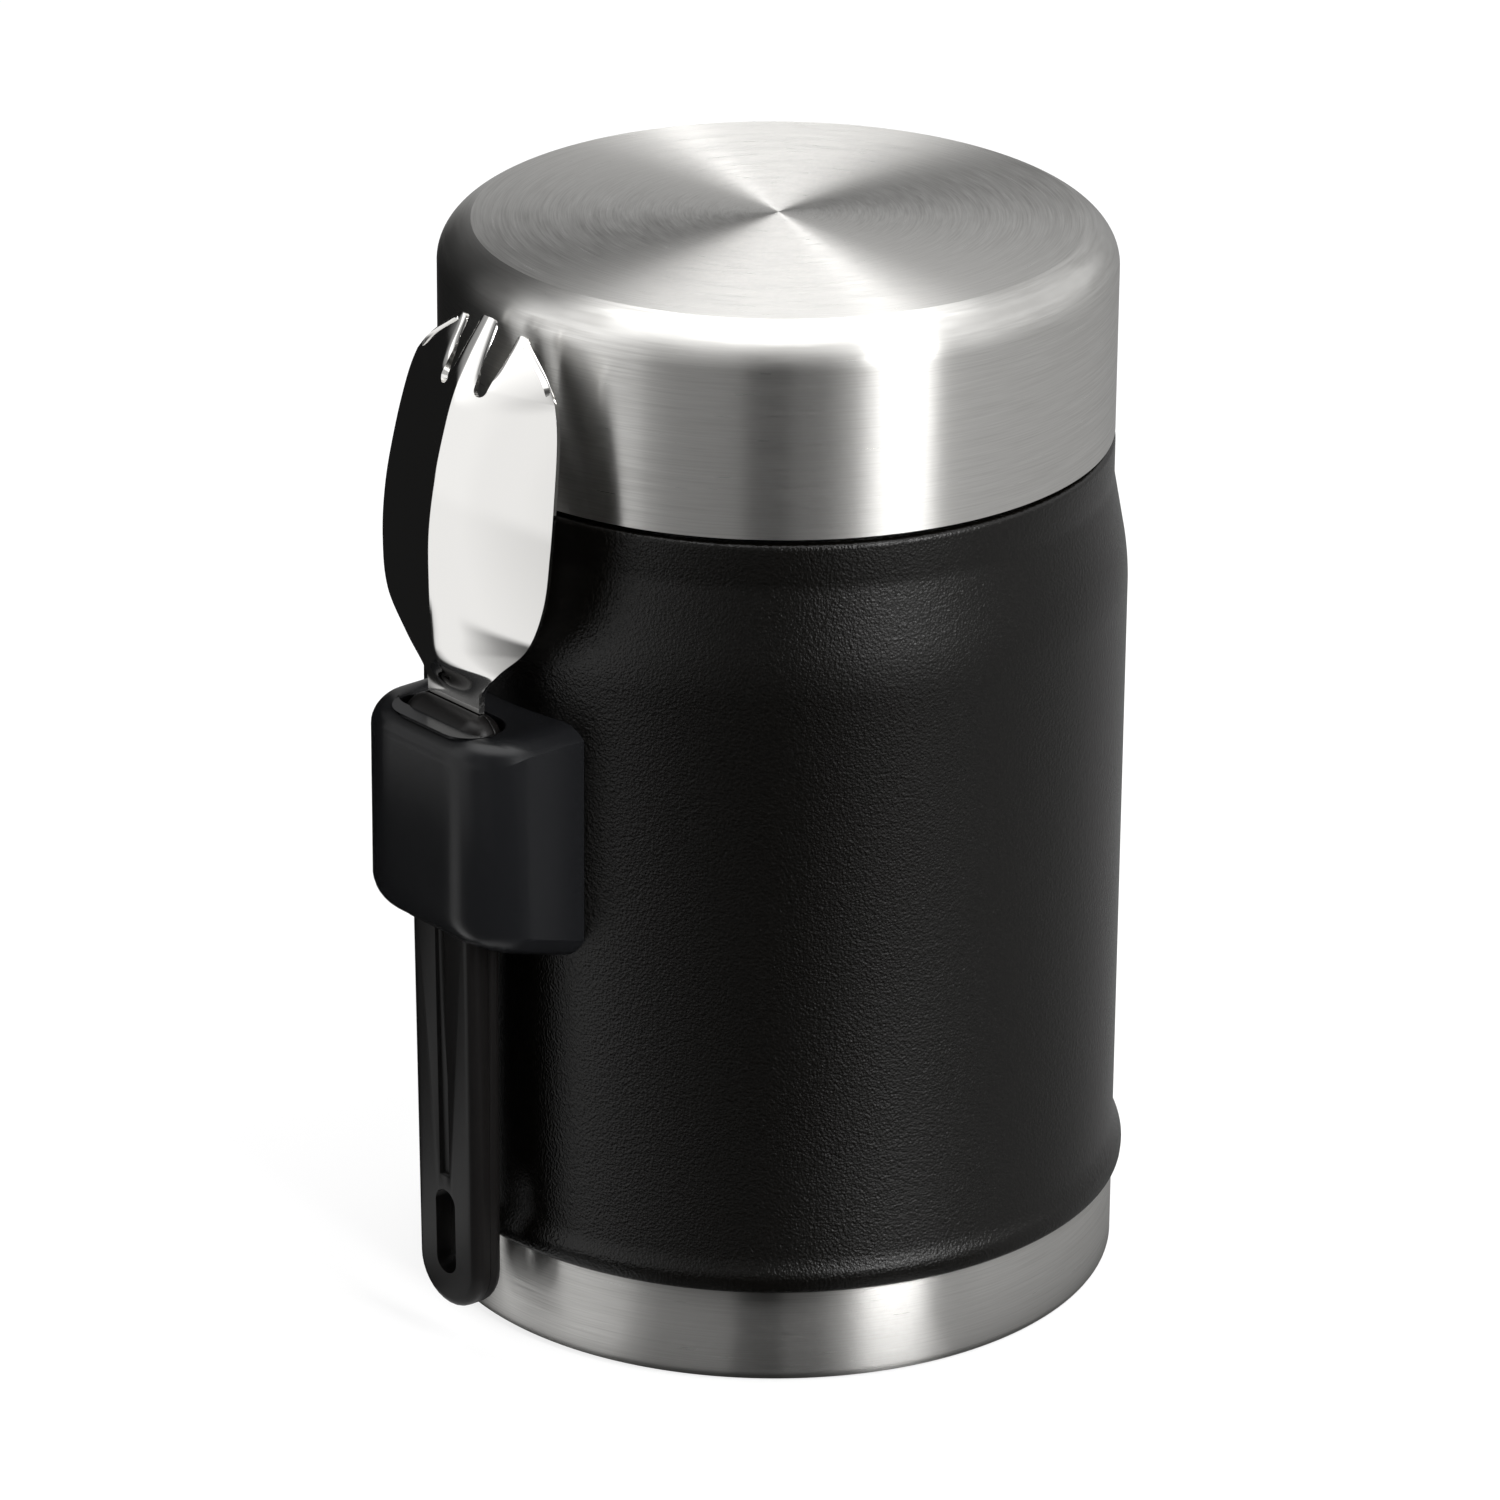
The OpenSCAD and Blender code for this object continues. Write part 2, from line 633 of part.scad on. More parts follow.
// The whole handle before it is split: shank, head, hole and groove
module handle_body() {
    e = shank_edge_r;
    half = shank_w / 2;
    low_out = shank_in + shank_low_t;
    top_out = shank_in + shank_top_t;
    head_in = head_mid - head_t / 2;
    head_out = head_mid + head_t / 2;
    head_low = slot_floor_h + seat_gap;
    difference() {
        union() {
            hull() {
                for (y = [shank_in + e, low_out - e])
                    translate([0, -y, handle_low_h + half]) rotate([90, 0, 0]) puck(half, e);
                for (x = [-1, 1], y = [shank_in + e, top_out - e])
                    translate([x * (half - e), -y, slot_floor_h + shank_bite]) sphere(e, $fn = hull_n);
            }
            hull() for (x = [-1, 1] * (head_w / 2 - head_r)) {
                translate([x, -head_in - head_r, head_low])
                    cylinder(r = head_r, h = head_r, $fn = hull_n);
                translate([x, -head_out + head_r, head_low])
                    cylinder(r = head_r, h = head_r, $fn = hull_n);
                translate([x, -head_in - head_r, head_top_h - head_r])
                    sphere(head_r, $fn = hull_n);
                translate([x, -head_out + head_r, head_top_h - head_fall - head_r])
                    sphere(head_r, $fn = hull_n);
            }
        }
        upright(body_r, holder_face) stadium(hole_w, hole_low_h, hole_top_h);
        translate([-groove_w / 2, 0, 0]) rotate([90, 0, 90]) linear_extrude(groove_w)
            polygon([
                [-low_out + groove_depth, hole_top_h + groove_w],
                [-top_out + groove_depth, slot_floor_h - groove_w],
                [-holder_face, slot_floor_h - groove_w],
                [-holder_face, hole_top_h + groove_w]]);
        translate([-stem_w / 2 - slide_gap, -stem_mid - fork_t / 2 - slide_gap,
                   stem_low_h - slide_gap])
            cube([stem_w + 2 * slide_gap, fork_t + 2 * slide_gap, stem_len + 2 * head_r]);
    }
}

// Half space on one side of the plane that splits the handle
module half_space(from, to)
    translate([-holder_w, -to, 0]) cube([2 * holder_w, to - from, tip_h]);

// Places of the pins that join the halves
module at_dowels() {
    for (x = [-dowel_side, dowel_side]) translate([x, -stem_mid, dowel_head_h])
        rotate([90, 0, 0]) children();
    translate([0, -stem_mid, dowel_low_h]) rotate([90, 0, 0]) children();
}

module handle_front() {
    reach = fork_t / 2 + slide_gap;
    pin_room = stop_pin_d / 2 + slide_gap;
    color([0.1, 0.1, 0.1]) {
        difference() {
            intersection() {
                handle_body();
                half_space(stem_mid, holder_face);
            }
            upright(stem_mid, stem_mid + reach + slide_gap + fork_t)
                stadium(2 * pin_room, stop_pin_h - pin_room, stop_pin_h + stem_travel + pin_room);
        }
        at_dowels() translate([0, 0, -dowel_len])
            cylinder(d = dowel_d, h = dowel_len + fit, $fn = round_n);
    }
}

module handle_back() {
    reach = fork_t / 2 + slide_gap;
    leaf_room = leaf_w + 2 * slide_gap;
    color([0.1, 0.1, 0.1]) difference() {
        intersection() {
            handle_body();
            half_space(body_r, stem_mid - fit);
        }
        at_dowels() translate([0, 0, -dowel_len - slide_gap])
            cylinder(d = dowel_d + 2 * fit, h = dowel_len + 2 * slide_gap, $fn = round_n);
        translate([-leaf_room / 2, -stem_mid + reach - cut / 2,
                   leaf_mid_h - leaf_len / 2 - slide_gap])
            cube([leaf_room, leaf_pocket + cut / 2 + fit, leaf_len + 2 * slide_gap]);
    }
}

// A leaf bowed towards the stem, as an arc of a tube
module detent_leaf() {
    chord = leaf_len / 2;
    r = (chord * chord + leaf_bow * leaf_bow) / (2 * leaf_bow);
    crest = stem_mid - fork_t / 2 - slide_gap;
    color([0.7, 0.7, 0.7]) translate([-leaf_w / 2, 0, leaf_mid_h]) rotate([90, 0, 90])
        linear_extrude(leaf_w) intersection() {
            translate([r - crest, 0]) difference() {
                circle(r, $fn = 4 * round_n);
                circle(r - leaf_t, $fn = 4 * round_n);
            }
            translate([-body_r - holder_out / 2, 0]) square([holder_out, leaf_len], center = true);
        }
}

// Smooth curve through the rows of a table, at share s of its first column
function row_slope(t, i) = let (a = max(i - 1, 0), b = min(i + 1, len(t) - 1))
    (t[b] - t[a]) / (t[b][0] - t[a][0]);
function row_index(t, s, i = 0) =
    i >= len(t) - 2 || s < t[i + 1][0] ? i : row_index(t, s, i + 1);
function row_at(t, s) =
    let (i = row_index(t, s), h = t[i + 1][0] - t[i][0], q = (s - t[i][0]) / h)
    (2 * q * q * q - 3 * q * q + 1) * t[i] + (q * q * q - 2 * q * q + q) * h * row_slope(t, i)
    + (3 * q * q - 2 * q * q * q) * t[i + 1] + (q * q * q - q * q) * h * row_slope(t, i + 1);

// One row of the sheet, as points [x, -out, height]; inner is 0 or 1
function bowl_row(s, inner) =
    let (b = row_at(bowl_shares, s), edge = b[4] * inner,
         w = b[1] * bowl_w / 2 - edge * fork_t,
         rim = stem_out - b[2] * bowl_lean - inner * (1 - b[4]) * fork_t,
         deep = b[3] * bowl_depth - edge * fork_t)
    [for (j = [0:bowl_cols]) let (a = -90 + 180 * j / bowl_cols)
        [w * sin(a), -rim - deep * cos(a), stem_top_h + s * bowl_len]];

// The bowl as one closed sheet: outer rows first, then inner rows
module bowl_sheet() {
    n = bowl_cols + 1;
    inner = n * (bowl_rows + 1);
    points = [for (side = [0, 1], i = [0:bowl_rows]) each bowl_row(i / bowl_rows, side)];
    function quad(a, b, c, d) = [[a, b, c], [a, c, d]];
    polyhedron(points, [
        for (i = [0:bowl_rows - 1], j = [0:bowl_cols - 1]) let (k = i * n + j)
            each quad(k, k + n, k + n + 1, k + 1),
        for (i = [0:bowl_rows - 1], j = [0:bowl_cols - 1]) let (k = inner + i * n + j)
            each quad(k, k + 1, k + n + 1, k + n),
        for (i = [0:bowl_rows - 1]) let (k = i * n)
            each quad(k, k + inner, k + inner + n, k + n),
        for (i = [0:bowl_rows - 1]) let (k = i * n + bowl_cols)
            each quad(k, k + n, k + inner + n, k + inner),
        for (j = [0:bowl_cols - 1])
            each quad(j, j + 1, j + 1 + inner, j + inner),
        for (j = [0:bowl_cols - 1]) let (k = bowl_rows * n + j)
            each quad(k, k + inner, k + 1 + inner, k + 1)], convexity = 6);
}

// Slot between two tines: a round root that opens towards the tips
module tine_slot() {
    root = tine_root_w / 2 + tine_slot_w / 2;
    root_h = tip_h - tine_slot_len;
    translate([root, root_h]) circle(tine_slot_w / 2, $fn = round_n);
    polygon([
        [root - tine_slot_w / 2, root_h],
        [root + tine_slot_w / 2, root_h],
        [tine_tip_w / 2 + tine_mouth_w, tip_h + fit],
        [tine_tip_w / 2, tip_h + fit]]);
}

module spork_head() {
    color([0.82, 0.81, 0.8]) difference() {
        union() {
            bowl_sheet();
            translate([-stem_w / 2, -stem_out, stem_low_h])
                cube([stem_w, fork_t, stem_len + fit]);
        }
        for (m = [0, 1]) mirror([m, 0, 0])
            upright(body_r - bowl_lean, holder_face) tine_slot();
        translate([0, -body_r, stop_pin_h]) rotate([90, 0, 0])
            cylinder(d = stop_pin_d + 2 * fit, h = holder_out, $fn = round_n);
    }
}

module stop_pin() {
    color([0.6, 0.6, 0.6]) translate([0, -stem_mid + fork_t / 2, stop_pin_h]) rotate([90, 0, 0])
        cylinder(d = stop_pin_d, h = 2 * fork_t, $fn = round_n);
}

outer_shell();
base_cup();
outer_bottom();
vacuum_seal();
getter();
inner_liner();
foil_wrap();
threaded_neck();
holder_bracket();
holder_housing();
holder_screws();
mouth_seal();
lid_shell();
lid_liner();
lid_foam();
lid_plug();
handle_front();
handle_back();
detent_leaf();
spork_head();
stop_pin();
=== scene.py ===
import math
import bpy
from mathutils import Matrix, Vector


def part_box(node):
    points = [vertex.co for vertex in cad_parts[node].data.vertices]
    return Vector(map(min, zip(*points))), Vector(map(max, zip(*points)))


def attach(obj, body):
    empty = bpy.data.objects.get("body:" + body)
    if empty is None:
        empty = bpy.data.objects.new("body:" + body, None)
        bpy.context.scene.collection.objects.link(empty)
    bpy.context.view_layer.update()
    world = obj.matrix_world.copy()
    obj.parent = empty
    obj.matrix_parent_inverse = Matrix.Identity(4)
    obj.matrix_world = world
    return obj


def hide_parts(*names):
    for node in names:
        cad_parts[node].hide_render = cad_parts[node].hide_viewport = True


bl_info = {
    "name": "Food Jar Dressing",
    "version": (1, 0, 0),
    "blender": (4, 5, 0),
    "location": "View3D > Sidebar > Food Jar",
    "description": "Fine meshes, finishes and a studio for an insulated food jar with a spork",
    "category": "Object",
}

import bmesh
import bpy
from bpy.props import FloatProperty, FloatVectorProperty, PointerProperty
from mathutils import Matrix, Vector

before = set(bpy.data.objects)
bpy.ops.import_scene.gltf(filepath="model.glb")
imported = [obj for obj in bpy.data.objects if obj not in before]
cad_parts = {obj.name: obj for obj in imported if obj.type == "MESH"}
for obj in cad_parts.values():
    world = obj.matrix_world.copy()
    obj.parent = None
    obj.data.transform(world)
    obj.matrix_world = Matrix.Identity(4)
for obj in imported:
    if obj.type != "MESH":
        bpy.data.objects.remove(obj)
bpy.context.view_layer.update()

MM = 0.001
# Points nearer than this are one point; a CAD node's facets leave somewhat wider gaps
SAME_POINT = 1e-7
FACET_GAP = 2e-6

# Corners of the packed nodes that give the sizes here their defaults
SHELL_LOW, SHELL_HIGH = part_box("outer_shell")
CUP_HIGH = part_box("base_cup")[1]
LID_LOW, LID_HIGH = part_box("lid_shell")
NECK_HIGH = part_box("threaded_neck")[1]
HOLDER_LOW, HOLDER_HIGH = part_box("holder_housing")
SPORK_LOW, SPORK_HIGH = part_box("spork_head")


def size(name, description, default):
    """A length in metres that shows in the sidebar."""
    return FloatProperty(
        name=name, description=description, default=default, min=0.0, unit="LENGTH", precision=5
    )


def share(name, description, default, top=1.0):
    """A plain number from 0 to top."""
    subtype = "FACTOR" if top == 1.0 else "NONE"
    return FloatProperty(
        name=name, description=description, default=default, min=0.0, max=top, subtype=subtype
    )


def turn(name, description, degrees):
    """An angle, given in degrees and kept in radians."""
    return FloatProperty(
        name=name, description=description, default=math.radians(degrees), unit="ROTATION"
    )


def colour(name, description, default):
    """A linear colour."""
    return FloatVectorProperty(
        name=name, description=description, default=default, subtype="COLOR", min=0.0, max=1.0
    )


class JarSizes(bpy.types.PropertyGroup):
    """Sizes of the jar's turned pieces."""

    wall_radius: size("Wall radius", "Outside of the coated wall", CUP_HIGH.x)
    sheet: size("Sheet", "Thickness of the coated sheet and the base cup", 0.6 * MM)
    hem_round: size("Hem rounding", "Rounding under the bead", 1.1 * MM)
    bead_up: size("Bead crest", "Height of the bead's crest above the hem", 1.8 * MM)
    bead_rise: size("Bead rise", "Height of the crease above the bead's crest", 3.2 * MM)
    bead_flank: turn("Bead flank", "Lean of the bead's upper flank", 27)
    shoulder_height: size("Shoulder height", "Height where the wall starts to lean", 95 * MM)
    shoulder_lean: turn("Shoulder lean", "Lean of the shoulder", 10.5)
    shoulder_bend: size("Shoulder bend", "Radius of the bend from wall to shoulder", 38 * MM)
    band_bend: size("Band bend", "Radius of the bend from shoulder to band", 8 * MM)
    band_step: size("Band step", "How much smaller the band is than the wall", 2.1 * MM)
    ledge_round: size("Ledge rounding", "Rounding of the ledge's outer edge", 0.8 * MM)
    ledge_width: size("Ledge width", "Width of the ledge up to the neck", 5.4 * MM)
    foot_round: size("Foot rounding", "Rounding of the base cup's foot", 1.6 * MM)
    foot_width: size("Foot width", "Width of the foot ring", 5 * MM)
    foot_recess: size("Foot recess", "Depth of the recess inside the foot ring", 2 * MM)
    fit: size("Fit", "Gap between pressed pieces", 0.05 * MM)


class LidSizes(bpy.types.PropertyGroup):
    """Sizes of the lid and of the threads."""

    radius: size("Radius", "Outside of the lid's cap", LID_HIGH.x)
    sheet: size("Sheet", "Thickness of the cap's sheet", 0.5 * MM)
    edge_width: size("Edge width", "Width of the rounding round the top", 7.8 * MM)
    edge_height: size("Edge height", "Height of the rounding round the top", 6.2 * MM)
    edge_turn: turn("Edge turn", "How far the rounding turns before the domed top starts", 64)
    neck_radius: size("Neck radius", "Outside of the neck", NECK_HIGH.x - 3 * MM)
    skirt_radius: size("Skirt radius", "Inside of the lid's threaded skirt", NECK_HIGH.x - 2.2 * MM)
    thread_lead: size("Thread lead", "Rise of the thread in one turn", 6 * MM)
    thread_height: size("Thread height", "How far the thread stands out", 0.6 * MM)
    thread_width: size("Thread width", "Width of the thread at its root", 2.2 * MM)
    thread_turns: FloatProperty(
        name="Thread turns", description="Turns of thread on the neck", default=1.6, min=0.5, max=2
    )


class HolderSizes(bpy.types.PropertyGroup):
    """Sizes of the moulded holder."""

    corner: size("Corner radius", "Plan radius of the outer corners", 7.5 * MM)
    edge: size("Top edge", "Rounding of the top edge", 3.6 * MM)
    side_edge: size("Side edge", "Height of the bevel along the top's sides", 1.9 * MM)
    side_foot: size("Side foot", "Height of the bevel along the bottom's sides", 3.3 * MM)
    bevel: turn("Bevel", "Angle where the side bevels meet the faces", 45)
    foot: size("Bottom edge", "Rounding of the bottom edge", 4.2 * MM)
    rise: size("Underside rise", "How much higher the underside is at the outer face", 4.3 * MM)
    slot_width: size("Slot width", "Width of the slot", 17 * MM)
    slot_depth: size("Slot thickness", "Thickness of the slot", 8.3 * MM)
    slot_back: size("Slot back", "Distance from the wall to the slot", 4.2 * MM)
    slot_floor: size("Slot floor", "Height of the slot's floor", 64.2 * MM)
    chamfer: size("Slot chamfer", "Chamfer round the slot's mouth", 0.45 * MM)
    slot_flat: size("Slot flat", "How much less than half its thickness its corners round", 0.1 * MM)
    shank_round: size("Shank rounding", "Corner radius of the opening for the shank", 1.3 * MM)
    bevel_width: size("Bevel width", "Width of the bevel on every sharp edge", 0.5 * MM)
    bevel_from: turn("Bevel from", "Least angle of an edge that gets that bevel", 30)
    shank_width: size("Shank opening width", "Width of the opening for the shank", 13.1 * MM)
    shank_in: size("Shank opening back", "Distance from the axis to the opening", 50.6 * MM)
    shank_out: size("Shank opening front", "Distance from the axis to its far side", 56.8 * MM)


class SporkSizes(bpy.types.PropertyGroup):
    """Sizes of the spork's bowl, tines and stem."""

    sheet: size("Sheet", "Thickness of the steel", 0.9 * MM)
    stem_width: size("Stem width", "Width of the stem and neck", 10.2 * MM)
    stem_out: size("Stem place", "Distance from the axis to the stem's outer face", 53.75 * MM)
    neck_height: size("Neck height", "Height where the bowl starts", 90.8 * MM)
    bowl_width: size("Bowl width", "Widest part of the bowl", 31.4 * MM)
    bowl_depth: size("Bowl depth", "Depth of the bowl", 6.0 * MM)
    bowl_spread: size("Bowl spread", "Extra half width and reach of the bowl's middle", 0.85 * MM)
    bowl_lean: size("Bowl lean", "How far the tips lean in", 6.95 * MM)
    slot_length: size("Tine slot length", "Length of the slots between the tines", 8 * MM)
    slot_root: size("Tine slot root", "Width of the slots at their closed end", 1.9 * MM)
    slot_mouth: size("Tine slot mouth", "Width of the slots at their open end", 3.2 * MM)
    tine_root: size("Middle tine root", "Width of the middle tine at its root", 5.2 * MM)
    tine_tip: size("Middle tine tip", "Width of the middle tine at its tip", 3.4 * MM)
    middle_drop: size("Middle tine drop", "How far the middle tine ends below the top", 0.3 * MM)
    side_drop: size("Side tine drop", "How far the side tines end below the top", 1.4 * MM)
    tip_round: size("Tip rounding", "Rounding of the tines' tips", 1.1 * MM)
    crest: share("Crest", "How round the bowl's crest is, 1 for a sharp fold", 1.25, 4.0)
    edge_bevel: size("Edge bevel", "Width of the bevel on the sheet's edges", 0.22 * MM)


class Finishes(bpy.types.PropertyGroup):
    """Colours and grain of the finishes."""

    coat: colour("Coat", "Black powder coat", (0.0012, 0.0010, 0.0007))
    steel_dark: colour("Steel, dark", "Steel between the brush lines", (0.585, 0.576, 0.556))
    steel_light: colour("Steel, light", "Steel on the brush lines", (0.775, 0.767, 0.745))
    mirror: colour("Polished steel", "Mirror-polished steel", (0.82, 0.81, 0.79))
    holder: colour("Holder", "Moulded plastic of the holder", (0.0048, 0.0050, 0.0056))
    handle: colour("Handle", "Moulded plastic of the handle", (0.0042, 0.0038, 0.0037))
    inside: colour("Lid plastic", "Moulded plastic inside the lid", (0.012, 0.012, 0.012))
    silicone: colour("Silicone", "Mouth seal", (0.72, 0.72, 0.69))
    foam: colour("Foam", "Insulating foam", (0.80, 0.75, 0.58))
    foil: colour("Foil", "Foil round the food vessel", (0.85, 0.85, 0.84))
    getter: colour("Getter", "Getter tablet", (0.20, 0.19, 0.185))
    solder: colour("Vacuum seal", "Seal under the closing disc", (0.42, 0.39, 0.33))
    coat_grain: size("Coat grain", "Size of the powder coat's grains", 0.42 * MM)
    brush_pitch: size("Brush pitch", "Distance between brush lines", 0.2 * MM)
    brush_roughness: share("Brush roughness", "Roughness of the brushed steel", 0.33)


class Studio(bpy.types.PropertyGroup):
    """Camera, lamps and cards."""

    azimuth: turn("Azimuth", "Camera's place round the jar, from the holder", 49)
    distance: size("Distance", "Camera's distance from the jar's axis", 920.285 * MM)
    height: size("Height", "Camera's height", 453.872 * MM)
    pitch: turn("Pitch", "How far the camera looks down", 22.652)
    yaw: turn("Yaw", "How far the camera looks to the left of the axis", 0.194)
    roll: turn("Roll", "Roll of the camera", 0.464)
    lens: FloatProperty(name="Lens", description="Focal length", default=181.45, unit="CAMERA")
    floor: colour("Floor", "Floor", (0.93, 0.93, 0.93))
    floor_radius: size("Floor radius", "Radius of the floor", 6.0)
    floor_drop: size("Floor drop", "How far the floor lies under the jar", 0.05 * MM)
    floor_fade: share("Floor fade", "How far the floor fades to white where it is seen", 0.8)
    even_light: share("Even light", "Brightness of the light from all sides", 0.32)
    skin: size("Skin", "Height of the surroundings' floor over the jar's foot", 0.02 * MM)
    card_radius: size("Card radius", "Distance of the cards from the jar", 0.7)
    card_split: size("Card split", "Height where the upper wall starts to blend in", 0.26)
    # The contact ring is painted shade: a dark ring in the floor that only reflections see, painted
    # where the jar's contact shadow would fall
    contact_shadow: size("Contact", "Width of the dark ring under the jar's edge", 2.6 * MM)
    contact_shadow_level: share("Contact level", "Brightness of that ring", 0.03)
    foot_floor: size("Foot floor", "Radius of the floor that the base band reflects", 0.066)
    foot_share: share("Foot share", "Brightness of that floor, as a share of the far floor", 0.62)
    foot_turn: share("Foot turn", "Azimuth there, as a share of the far floor's", 0.65)
    near_floor: size("Near floor", "Radius where the near floor ends", 0.17)
    far_floor: size("Far floor", "Radius where the far floor starts", 0.28)
    box_gap: size("Softbox gap", "How far softboxes stand in front of the surroundings", 20 * MM)
    box_left: turn("Softbox left", "Left edge of the softbox", 27)
    box_right: turn("Softbox right", "Right edge of the softbox", 50)
    box_low: size("Softbox low", "Lower edge of the softbox", 0.1)
    box_high: size("Softbox high", "Upper edge of the softbox", 0.3)
    box_level: share("Softbox level", "Brightness of the softbox", 2.8, 50.0)
    wide_left: turn("High softbox left", "Left edge of the high softbox", 33)
    wide_right: turn("High softbox right", "Right edge of the high softbox", 52)
    wide_high: size("High softbox top", "Upper edge of the high softbox", 0.62)
    wide_level: share("High softbox level", "Brightness of the high softbox", 12.0, 50.0)
    card_height: size("Card height", "Height of the cards", 0.98)
    ceiling: share("Ceiling", "Brightness of the ceiling", 3.5, 50.0)


GROUPS = {
    "jar_sizes": JarSizes,
    "lid_sizes": LidSizes,
    "holder_sizes": HolderSizes,
    "spork_sizes": SporkSizes,
    "jar_finishes": Finishes,
    "jar_studio": Studio,
}


def settings(name):
    """The property group kept on the scene under that name."""
    return getattr(bpy.context.scene, name)


# Meshes


def arc(centre, radii, start, end, steps):
    """Points (radius, height) along an arc; the angles are in degrees."""
    points = []
    for i in range(steps + 1):
        angle = math.radians(start + (end - start) * i / steps)
        points.append(
            (centre[0] + radii[0] * math.cos(angle), centre[1] + radii[1] * math.sin(angle))
        )
    return points


def bend(x, z, radius, start, end, steps):
    """An arc of a circle round the point at radius x and height z."""
    return arc((x, z), (radius, radius), start, end, steps)


def moved_aside(path, distance):
    """The path moved to its right by distance."""
    moved = []
    for i, point in enumerate(path):
        before = Vector(path[max(i, 1)]) - Vector(path[max(i, 1) - 1])
        after = Vector(path[min(i + 1, len(path) - 1)]) - Vector(path[min(i, len(path) - 2)])
        side_a = Vector((before.y, -before.x)).normalized()
        side_b = Vector((after.y, -after.x)).normalized()
        middle = (side_a + side_b).normalized()
        moved.append(tuple(Vector(point) + middle * (distance / middle.dot(side_b))))
    return moved


def without_repeats(path):
    """The path with points that lie on the one before them left out."""
    kept = [path[0]]
    for point in path[1:]:
        if (Vector(point) - Vector(kept[-1])).length > 1e-6:
            kept.append(point)
    return kept


def new_object(name, data):
    """An object that holds that data, linked to the scene."""
    item = bpy.data.objects.new(name, data)
    bpy.context.scene.collection.objects.link(item)
    return item


def finish_mesh(name, bm, sharp=32):
    """Turns a bmesh into a smooth-shaded object with sharp edges above that angle."""
    bmesh.ops.remove_doubles(bm, verts=bm.verts, dist=SAME_POINT)
    bmesh.ops.recalc_face_normals(bm, faces=bm.faces)
    mesh = bpy.data.meshes.new(name)
    bm.to_mesh(mesh)
    bm.free()
    mesh.shade_smooth()
    mesh.set_sharp_from_angle(angle=math.radians(sharp))
    return new_object(name, mesh)


def lofted(name, rings, closed_ends=False, sharp=32):
    """A skin over rings of as many points each. The last ring joins the first, or both are filled."""
    bm = bmesh.new()
    loops = [[bm.verts.new(point) for point in ring] for ring in rings]
    count = len(rings[0])
    pairs = len(loops) - 1 if closed_ends else len(loops)
    for i in range(pairs):
        here, there = loops[i], loops[(i + 1) % len(loops)]
        for j in range(count):
            k = (j + 1) % count
            bm.faces.new((here[j], here[k], there[k], there[j]))
    if closed_ends:
        bm.faces.new(loops[0])
        bm.faces.new(loops[-1])
    return finish_mesh(name, bm, sharp)


def turned(name, path, thickness, segments=240, sharp=32):
    """A sheet turned round the axis. Its thickness lies right of the path, or left of it if negative."""
    path = without_repeats(path)
    outline = path + moved_aside(path, thickness)[::-1]
    rings = []
    for i in range(segments):
        angle = math.tau * i / segments
        rings.append([(r * math.cos(angle), r * math.sin(angle), z) for r, z in outline])
    return lofted(name, rings, sharp=sharp)


def thread(name, lid, radius, low, side):
    """A ridge that climbs round a neck (side 1) or inside a skirt (side -1), with faded ends."""
    turns = lid.thread_turns
    steps_a_turn = 96
    steps = round(steps_a_turn * turns)
    # Turns that each end takes to fade, and the ridge's section as shares of its width and height
    fade = 0.12
    profile = [(-0.5, -0.15), (-0.22, 1.0), (0.22, 1.0), (0.5, -0.15)]
    rings = []
    for i in range(steps + 1):
        turned_by = turns * i / steps
        angle = math.tau * turned_by
        full = min(1.0, turned_by / fade, (turns - turned_by) / fade)
        ring = []
        for across, out in profile:
            lift = out * lid.thread_height * (full if out > 0 else 1.0)
            r = radius + side * lift
            z = low + lid.thread_lead * turned_by + across * lid.thread_width
            ring.append((r * math.cos(angle), r * math.sin(angle), z))
        rings.append(ring)
    return lofted(name, rings, closed_ends=True, sharp=60)


def add_bevel(piece, width, least_angle=math.radians(40)):
    """Rounds the piece's edges that turn by more than that angle."""
    bevel = piece.modifiers.new("Edges", "BEVEL")
    bevel.width = width
    bevel.segments = 3
    bevel.limit_method = "ANGLE"
    bevel.angle_limit = least_angle
    bevel.harden_normals = True


def copy_of_node(name, node):
    """A mesh copy of a CAD node, with its facets' shared points joined and shaded smooth."""
    bm = bmesh.new()
    bm.from_mesh(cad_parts[node].data)
    bmesh.ops.remove_doubles(bm, verts=bm.verts, dist=FACET_GAP)
    piece = finish_mesh(name, bm)
    evened = piece.modifiers.new("Even shading", "WEIGHTED_NORMAL")
    evened.keep_sharp = True
    return piece


# Materials


def add_node(tree, kind, inputs=None, **values):
    """Adds a shader node. An input takes a value, or a socket that feeds it."""
    node = tree.nodes.new("ShaderNode" + kind)
    for key, value in values.items():
        setattr(node, key, value)
    for key, value in (inputs or {}).items():
        if isinstance(value, bpy.types.NodeSocket):
            tree.links.new(value, node.inputs[key])
        else:
            node.inputs[key].default_value = value
    return node


def maths(tree, operation, *values):
    """The result of a Math node."""
    node = add_node(tree, "Math", dict(enumerate(values)), operation=operation)
    return node.outputs[0]


def mapped(tree, value, low, high, from_low=0.0, from_high=1.0):
    """The value stretched from one range to another."""
    inputs = {"Value": value, "To Min": low, "To Max": high}
    inputs |= {"From Min": from_low, "From Max": from_high}
    return add_node(tree, "MapRange", inputs).outputs["Result"]


def mixed_colour(tree, mask, first, second, **values):
    """Two colours mixed by a mask."""
    node = add_node(tree, "Mix", {"Factor": mask}, data_type="RGBA", **values)
    node.inputs[6].default_value = (*first, 1.0)
    node.inputs[7].default_value = (*second, 1.0)
    return node.outputs[2]


